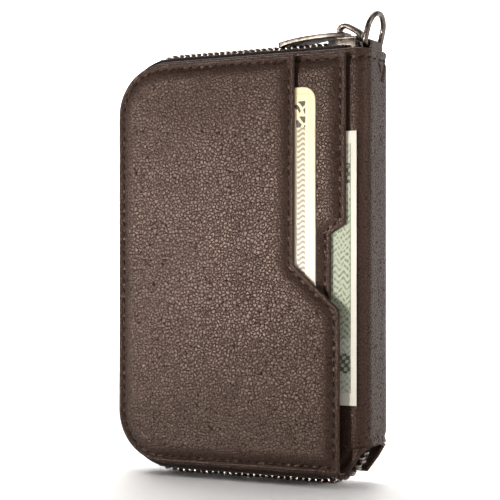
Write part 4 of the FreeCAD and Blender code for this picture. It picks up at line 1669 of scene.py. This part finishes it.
@dataclass
class SpineLining:
    """Lining strip that runs down the inside of the spine."""

    low: Vector
    high: Vector
    lining: bpy.types.Material

    def build(self) -> bpy.types.Object:
        """Make the strip with rounded edges."""
        outline = slab_outline((self.low.y, self.low.z), (self.high.y, self.high.z), 0.8, 5)
        vertices, faces = prism(outline, self.low.x, self.high.x, 0.14)
        piece = make_piece("lining_spine_cloth", vertices[:, [2, 0, 1]], faces, self.lining, 40)
        return attach(piece, Part.SPINE, "lining", "lining_spine")


@dataclass
class Stop:
    """Folded metal stop clamped on the chain."""

    node: str
    body: Part
    metal: bpy.types.Material

    def build(self) -> bpy.types.Object:
        """Make the stop as a rounded block with a pressed waist."""
        low, high = node_box(self.node)
        size = high - low
        middle = (low + high) / 2
        long_axis = max(range(3), key=lambda axis: size[axis])
        path = []
        for share in np.linspace(0, 1, 13):
            point = middle.copy()
            point[long_axis] = low[long_axis] + size[long_axis] * share
            path.append(point)
        across = 1 if long_axis != 1 else 0
        other = ({0, 1, 2} - {long_axis, across}).pop()
        binormal = Vector([1.0 if axis == across else 0.0 for axis in range(3)])

        def section(share: float) -> list[Point]:
            """Section that narrows at its waist and ends."""
            waist = 1.0 - 0.14 * math.exp(-(((share - 0.5) / 0.12) ** 2))
            end = 0.72 + 0.28 * min(1.0, 6 * share, 6 * (1 - share))
            return oval(size[across] * waist * end, size[other] * waist * end, 4.0, 20)

        vertices, faces = sweep(path, binormal, section)
        piece = make_piece(f"{self.node}_clamp", vertices, faces, self.metal, 45)
        return attach(piece, self.body, "zip_metal", self.node)


# ------------------------------------------------------------------------------------------------
# Studio
# ------------------------------------------------------------------------------------------------
@dataclass(frozen=True)
class Lamp:
    """Square soft light: metres, watts, and the angle of its beam in degrees."""

    name: str
    place: tuple[float, float, float]
    aim: tuple[float, float, float]
    size: float
    power: float
    spread: float = 180.0
    colour: Colour = (1.0, 0.95, 0.91)

    def build(self) -> None:
        """Add the light to the scene."""
        data = bpy.data.lights.new(self.name, "AREA")
        data.spread = math.radians(self.spread)
        data.energy = self.power
        data.color = self.colour
        data.size = self.size
        lamp = bpy.data.objects.new(self.name, data)
        lamp.location = self.place
        ray = Vector(self.aim) - Vector(self.place)
        lamp.rotation_euler = ray.to_track_quat("-Z", "Y").to_euler()
        bpy.context.scene.collection.objects.link(lamp)


LAMPS = (
    Lamp("key", place=(-0.35, -0.62, 0.050), aim=(0, 0, 0.055), size=0.13, power=0.080, spread=11.5),
    Lamp("fill", place=(0.80, -0.14, 0.36), aim=(0, 0, 0.05), size=0.40, power=3.6),
    Lamp("crest", place=(-0.05, 0.05, 0.85), aim=(0, 0, 0.06), size=0.50, power=2.0),
    Lamp("backdrop", place=(-0.6, 0.6, 1.4), aim=(-0.9, 2.0, 0.3), size=1.2, power=60.0),
)


@dataclass(frozen=True)
class Studio:
    """Camera, pale floor and soft lights, in metres."""

    eye: Vector = field(default_factory=lambda: Vector((0.19032, -0.33556, 0.05329)))
    turn: float = 29.42
    lens: float = 109.07
    shift: float = 0.0355
    glow: float = 0.20
    floor_tone: Colour = (0.97, 0.97, 0.97)
    far_glow: Colour = (0.72, 0.72, 0.72)
    glow_from: float = 150.0
    glow_full: float = 520.0

    def build(self) -> None:
        """Set up everything that isn't the wallet."""
        bpy.context.scene.view_settings.view_transform = "Standard"
        self._camera()
        self._floor()
        self._world()
        for lamp in LAMPS:
            lamp.build()

    def _camera(self) -> None:
        """Create the camera."""
        data = bpy.data.cameras.new("camera")
        data.lens = self.lens
        data.shift_y = self.shift
        camera = bpy.data.objects.new("camera", data)
        camera.location = self.eye
        camera.rotation_euler = (math.pi / 2, 0.0, math.radians(self.turn))
        bpy.context.scene.collection.objects.link(camera)
        bpy.context.scene.camera = camera

    def _floor(self) -> None:
        """Make a plain pale floor that rises behind the wallet and glows far from it."""
        graph = Graph("floor")
        x, y, _ = graph.axes()
        far = (x * x + y * y) ** 0.5
        graph.set(
            Base_Color=self.floor_tone,
            Roughness=0.6,
            Emission_Color=graph.blend(far.smooth(self.glow_from, self.glow_full), (0.0, 0.0, 0.0),
                                       self.far_glow),
            Emission_Strength=1.0,
        )
        width, front, back, radius, height = 6.0, -3.0, 1.4, 1.0, 4.0
        profile = [(front, 0.0)] + [
            (back + radius * math.sin(a), radius - radius * math.cos(a))
            for a in np.linspace(0, math.pi / 2, 16)
        ] + [(back + radius, height)]
        turn = Matrix.Rotation(math.radians(self.turn), 3, "Z")
        vertices = []
        for x in (-width, width):
            vertices += [list((turn @ Vector((x, y, z))) / MM) for y, z in profile]
        count = len(profile)
        faces = [[i, i + 1, count + i + 1, count + i] for i in range(count - 1)]
        floor = make_piece("floor", np.array(vertices), faces, graph.material, 60)

    def _world(self) -> None:
        """Give the room an even white glow behind a plain white background."""
        world = bpy.data.worlds.new("room")
        world.use_nodes = True
        tree = world.node_tree
        glow = tree.nodes["Background"]
        glow.inputs["Color"].default_value = (1.0, 1.0, 1.0, 1.0)
        glow.inputs["Strength"].default_value = self.glow
        wall = tree.nodes.new("ShaderNodeBackground")
        wall.inputs["Color"].default_value = (1.0, 1.0, 1.0, 1.0)
        path = tree.nodes.new("ShaderNodeLightPath")
        seen = tree.nodes.new("ShaderNodeMixShader")
        tree.links.new(path.outputs["Is Camera Ray"], seen.inputs[0])
        tree.links.new(glow.outputs[0], seen.inputs[1])
        tree.links.new(wall.outputs[0], seen.inputs[2])
        tree.links.new(seen.outputs[0], tree.nodes["World Output"].inputs["Surface"])
        bpy.context.scene.world = world


# ------------------------------------------------------------------------------------------------
# Whole wallet
# ------------------------------------------------------------------------------------------------
@dataclass
class Wallet:
    """Every visible piece, made from the frame's boxes."""

    book: Book

    def build(self) -> None:
        """Make and dress all the pieces."""
        self._finishes()
        self._outside()
        self._zip()
        self._handle()
        self._inside()

    def _finishes(self) -> None:
        """Make the materials that several pieces share."""
        self.leather = Leather("leather").make()
        self.panel_leather = Leather("panel_leather", tone=(0.0195, 0.0092, 0.0063),
                                     light=(0.0345, 0.0185, 0.0135)).make()
        self.edging = Edging("leather_edge").make()
        self.thread = Thread("thread").make()
        self.tape = Cloth("zip_tape", (0.012, 0.008, 0.007), (0.004, 0.003, 0.003), 0.5).make()
        self.lining = Cloth("lining", (0.085, 0.036, 0.022), (0.035, 0.014, 0.009), 0.34).make()
        self.teeth = Metal("zip_metal").make()
        self.slider = Metal("slider_metal", bright=(0.17, 0.145, 0.125), dull=(0.04, 0.031, 0.026),
                            rough=0.30).make()
        # A darker copy of the slider metal: painted shade for the pull tab's downward faces.
        self.shade = Metal("slider_painted_shade", bright=(0.030, 0.024, 0.020),
                           dull=(0.012, 0.009, 0.008), rough=0.5).make()
        self.ring = Metal("ring_metal", bright=(0.17, 0.14, 0.125), dull=(0.06, 0.048, 0.042),
                          rough=0.22).make()
        self.card_board = Edging("board", (0.30, 0.26, 0.21), (0.22, 0.18, 0.14)).make()

    def _outside(self) -> None:
        """Make the covers, the two pocket panels and what they hold."""
        book = self.book
        for side in Side:
            Cover(book, side, self.leather, self.thread).build()
        for node, mouth in MOUTHS.items():
            low, _ = node_box(node)
            edge = mouth.edge(book, low.z - book.bottom)
            PocketPanel(book, node, book.middle - low.y, 1.0, edge, self.panel_leather, self.thread,
                        seed=mouth.seed).build()
        Card(*node_box("card")).build()
        Notes(*node_box("banknotes")).build()
        for node in ("board_front", "board_back"):
            frame["nodes"][node].data.materials.clear()
            frame["nodes"][node].data.materials.append(self.card_board)

    def _zip(self) -> None:
        """Make the zip with its slider and stops."""
        for side in Side:
            Zip(self.book, side, self.tape, self.teeth).build()
            Stop(f"top_stop_{side.tag}", side.body, self.teeth).build()
        Stop("zip_bottom_stop", Part.BACK, self.teeth).build()
        low, high = node_box("slider_body")
        bridge_low, bridge_high = node_box("slider_bridge")
        Slider(low, high, bridge_low, bridge_high, self.book.middle, self.slider).build()

    def _handle(self) -> None:
        """Make the pull tab, the ring and its loop."""
        pivots = {joint["name"]: joint for joint in frame["joints"]}
        pull_at = joint_point(pivots["pull_hinge"])
        ring_at = joint_point(pivots["ring_swing"])
        low, high = node_box("pull_tab")
        PullTab(pull_at, low, high, self.slider, self.shade).build()
        DRing(ring_at, self.ring).build()
        low, high = node_box("ring_tab")
        Loop(low, high, ring_at, self.edging).build()

    def _inside(self) -> None:
        """Make the linings and inner pockets."""
        for side in Side:
            Inside(self.book, side, self.lining, self.thread).build()
        low, high = node_box("lining_spine")
        SpineLining(low, high, self.lining).build()


def joint_point(joint: dict) -> Vector:
    """Point on a joint's axis in millimetres."""
    return Vector(joint["pos_m"]) / MM


with open("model.json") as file:
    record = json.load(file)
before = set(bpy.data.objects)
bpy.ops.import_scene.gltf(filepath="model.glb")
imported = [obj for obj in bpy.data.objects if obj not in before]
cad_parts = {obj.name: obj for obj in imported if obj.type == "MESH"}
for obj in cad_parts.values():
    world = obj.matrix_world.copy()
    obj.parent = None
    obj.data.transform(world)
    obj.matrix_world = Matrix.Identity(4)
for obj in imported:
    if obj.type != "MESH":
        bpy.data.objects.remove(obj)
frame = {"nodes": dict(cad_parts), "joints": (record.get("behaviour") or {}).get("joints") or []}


def main() -> None:
    """Build the scene."""
    logging.basicConfig(level=logging.INFO)
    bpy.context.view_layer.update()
    Wallet(Book.measure()).build()
    Studio().build()


if __name__ == "__main__":
    main()
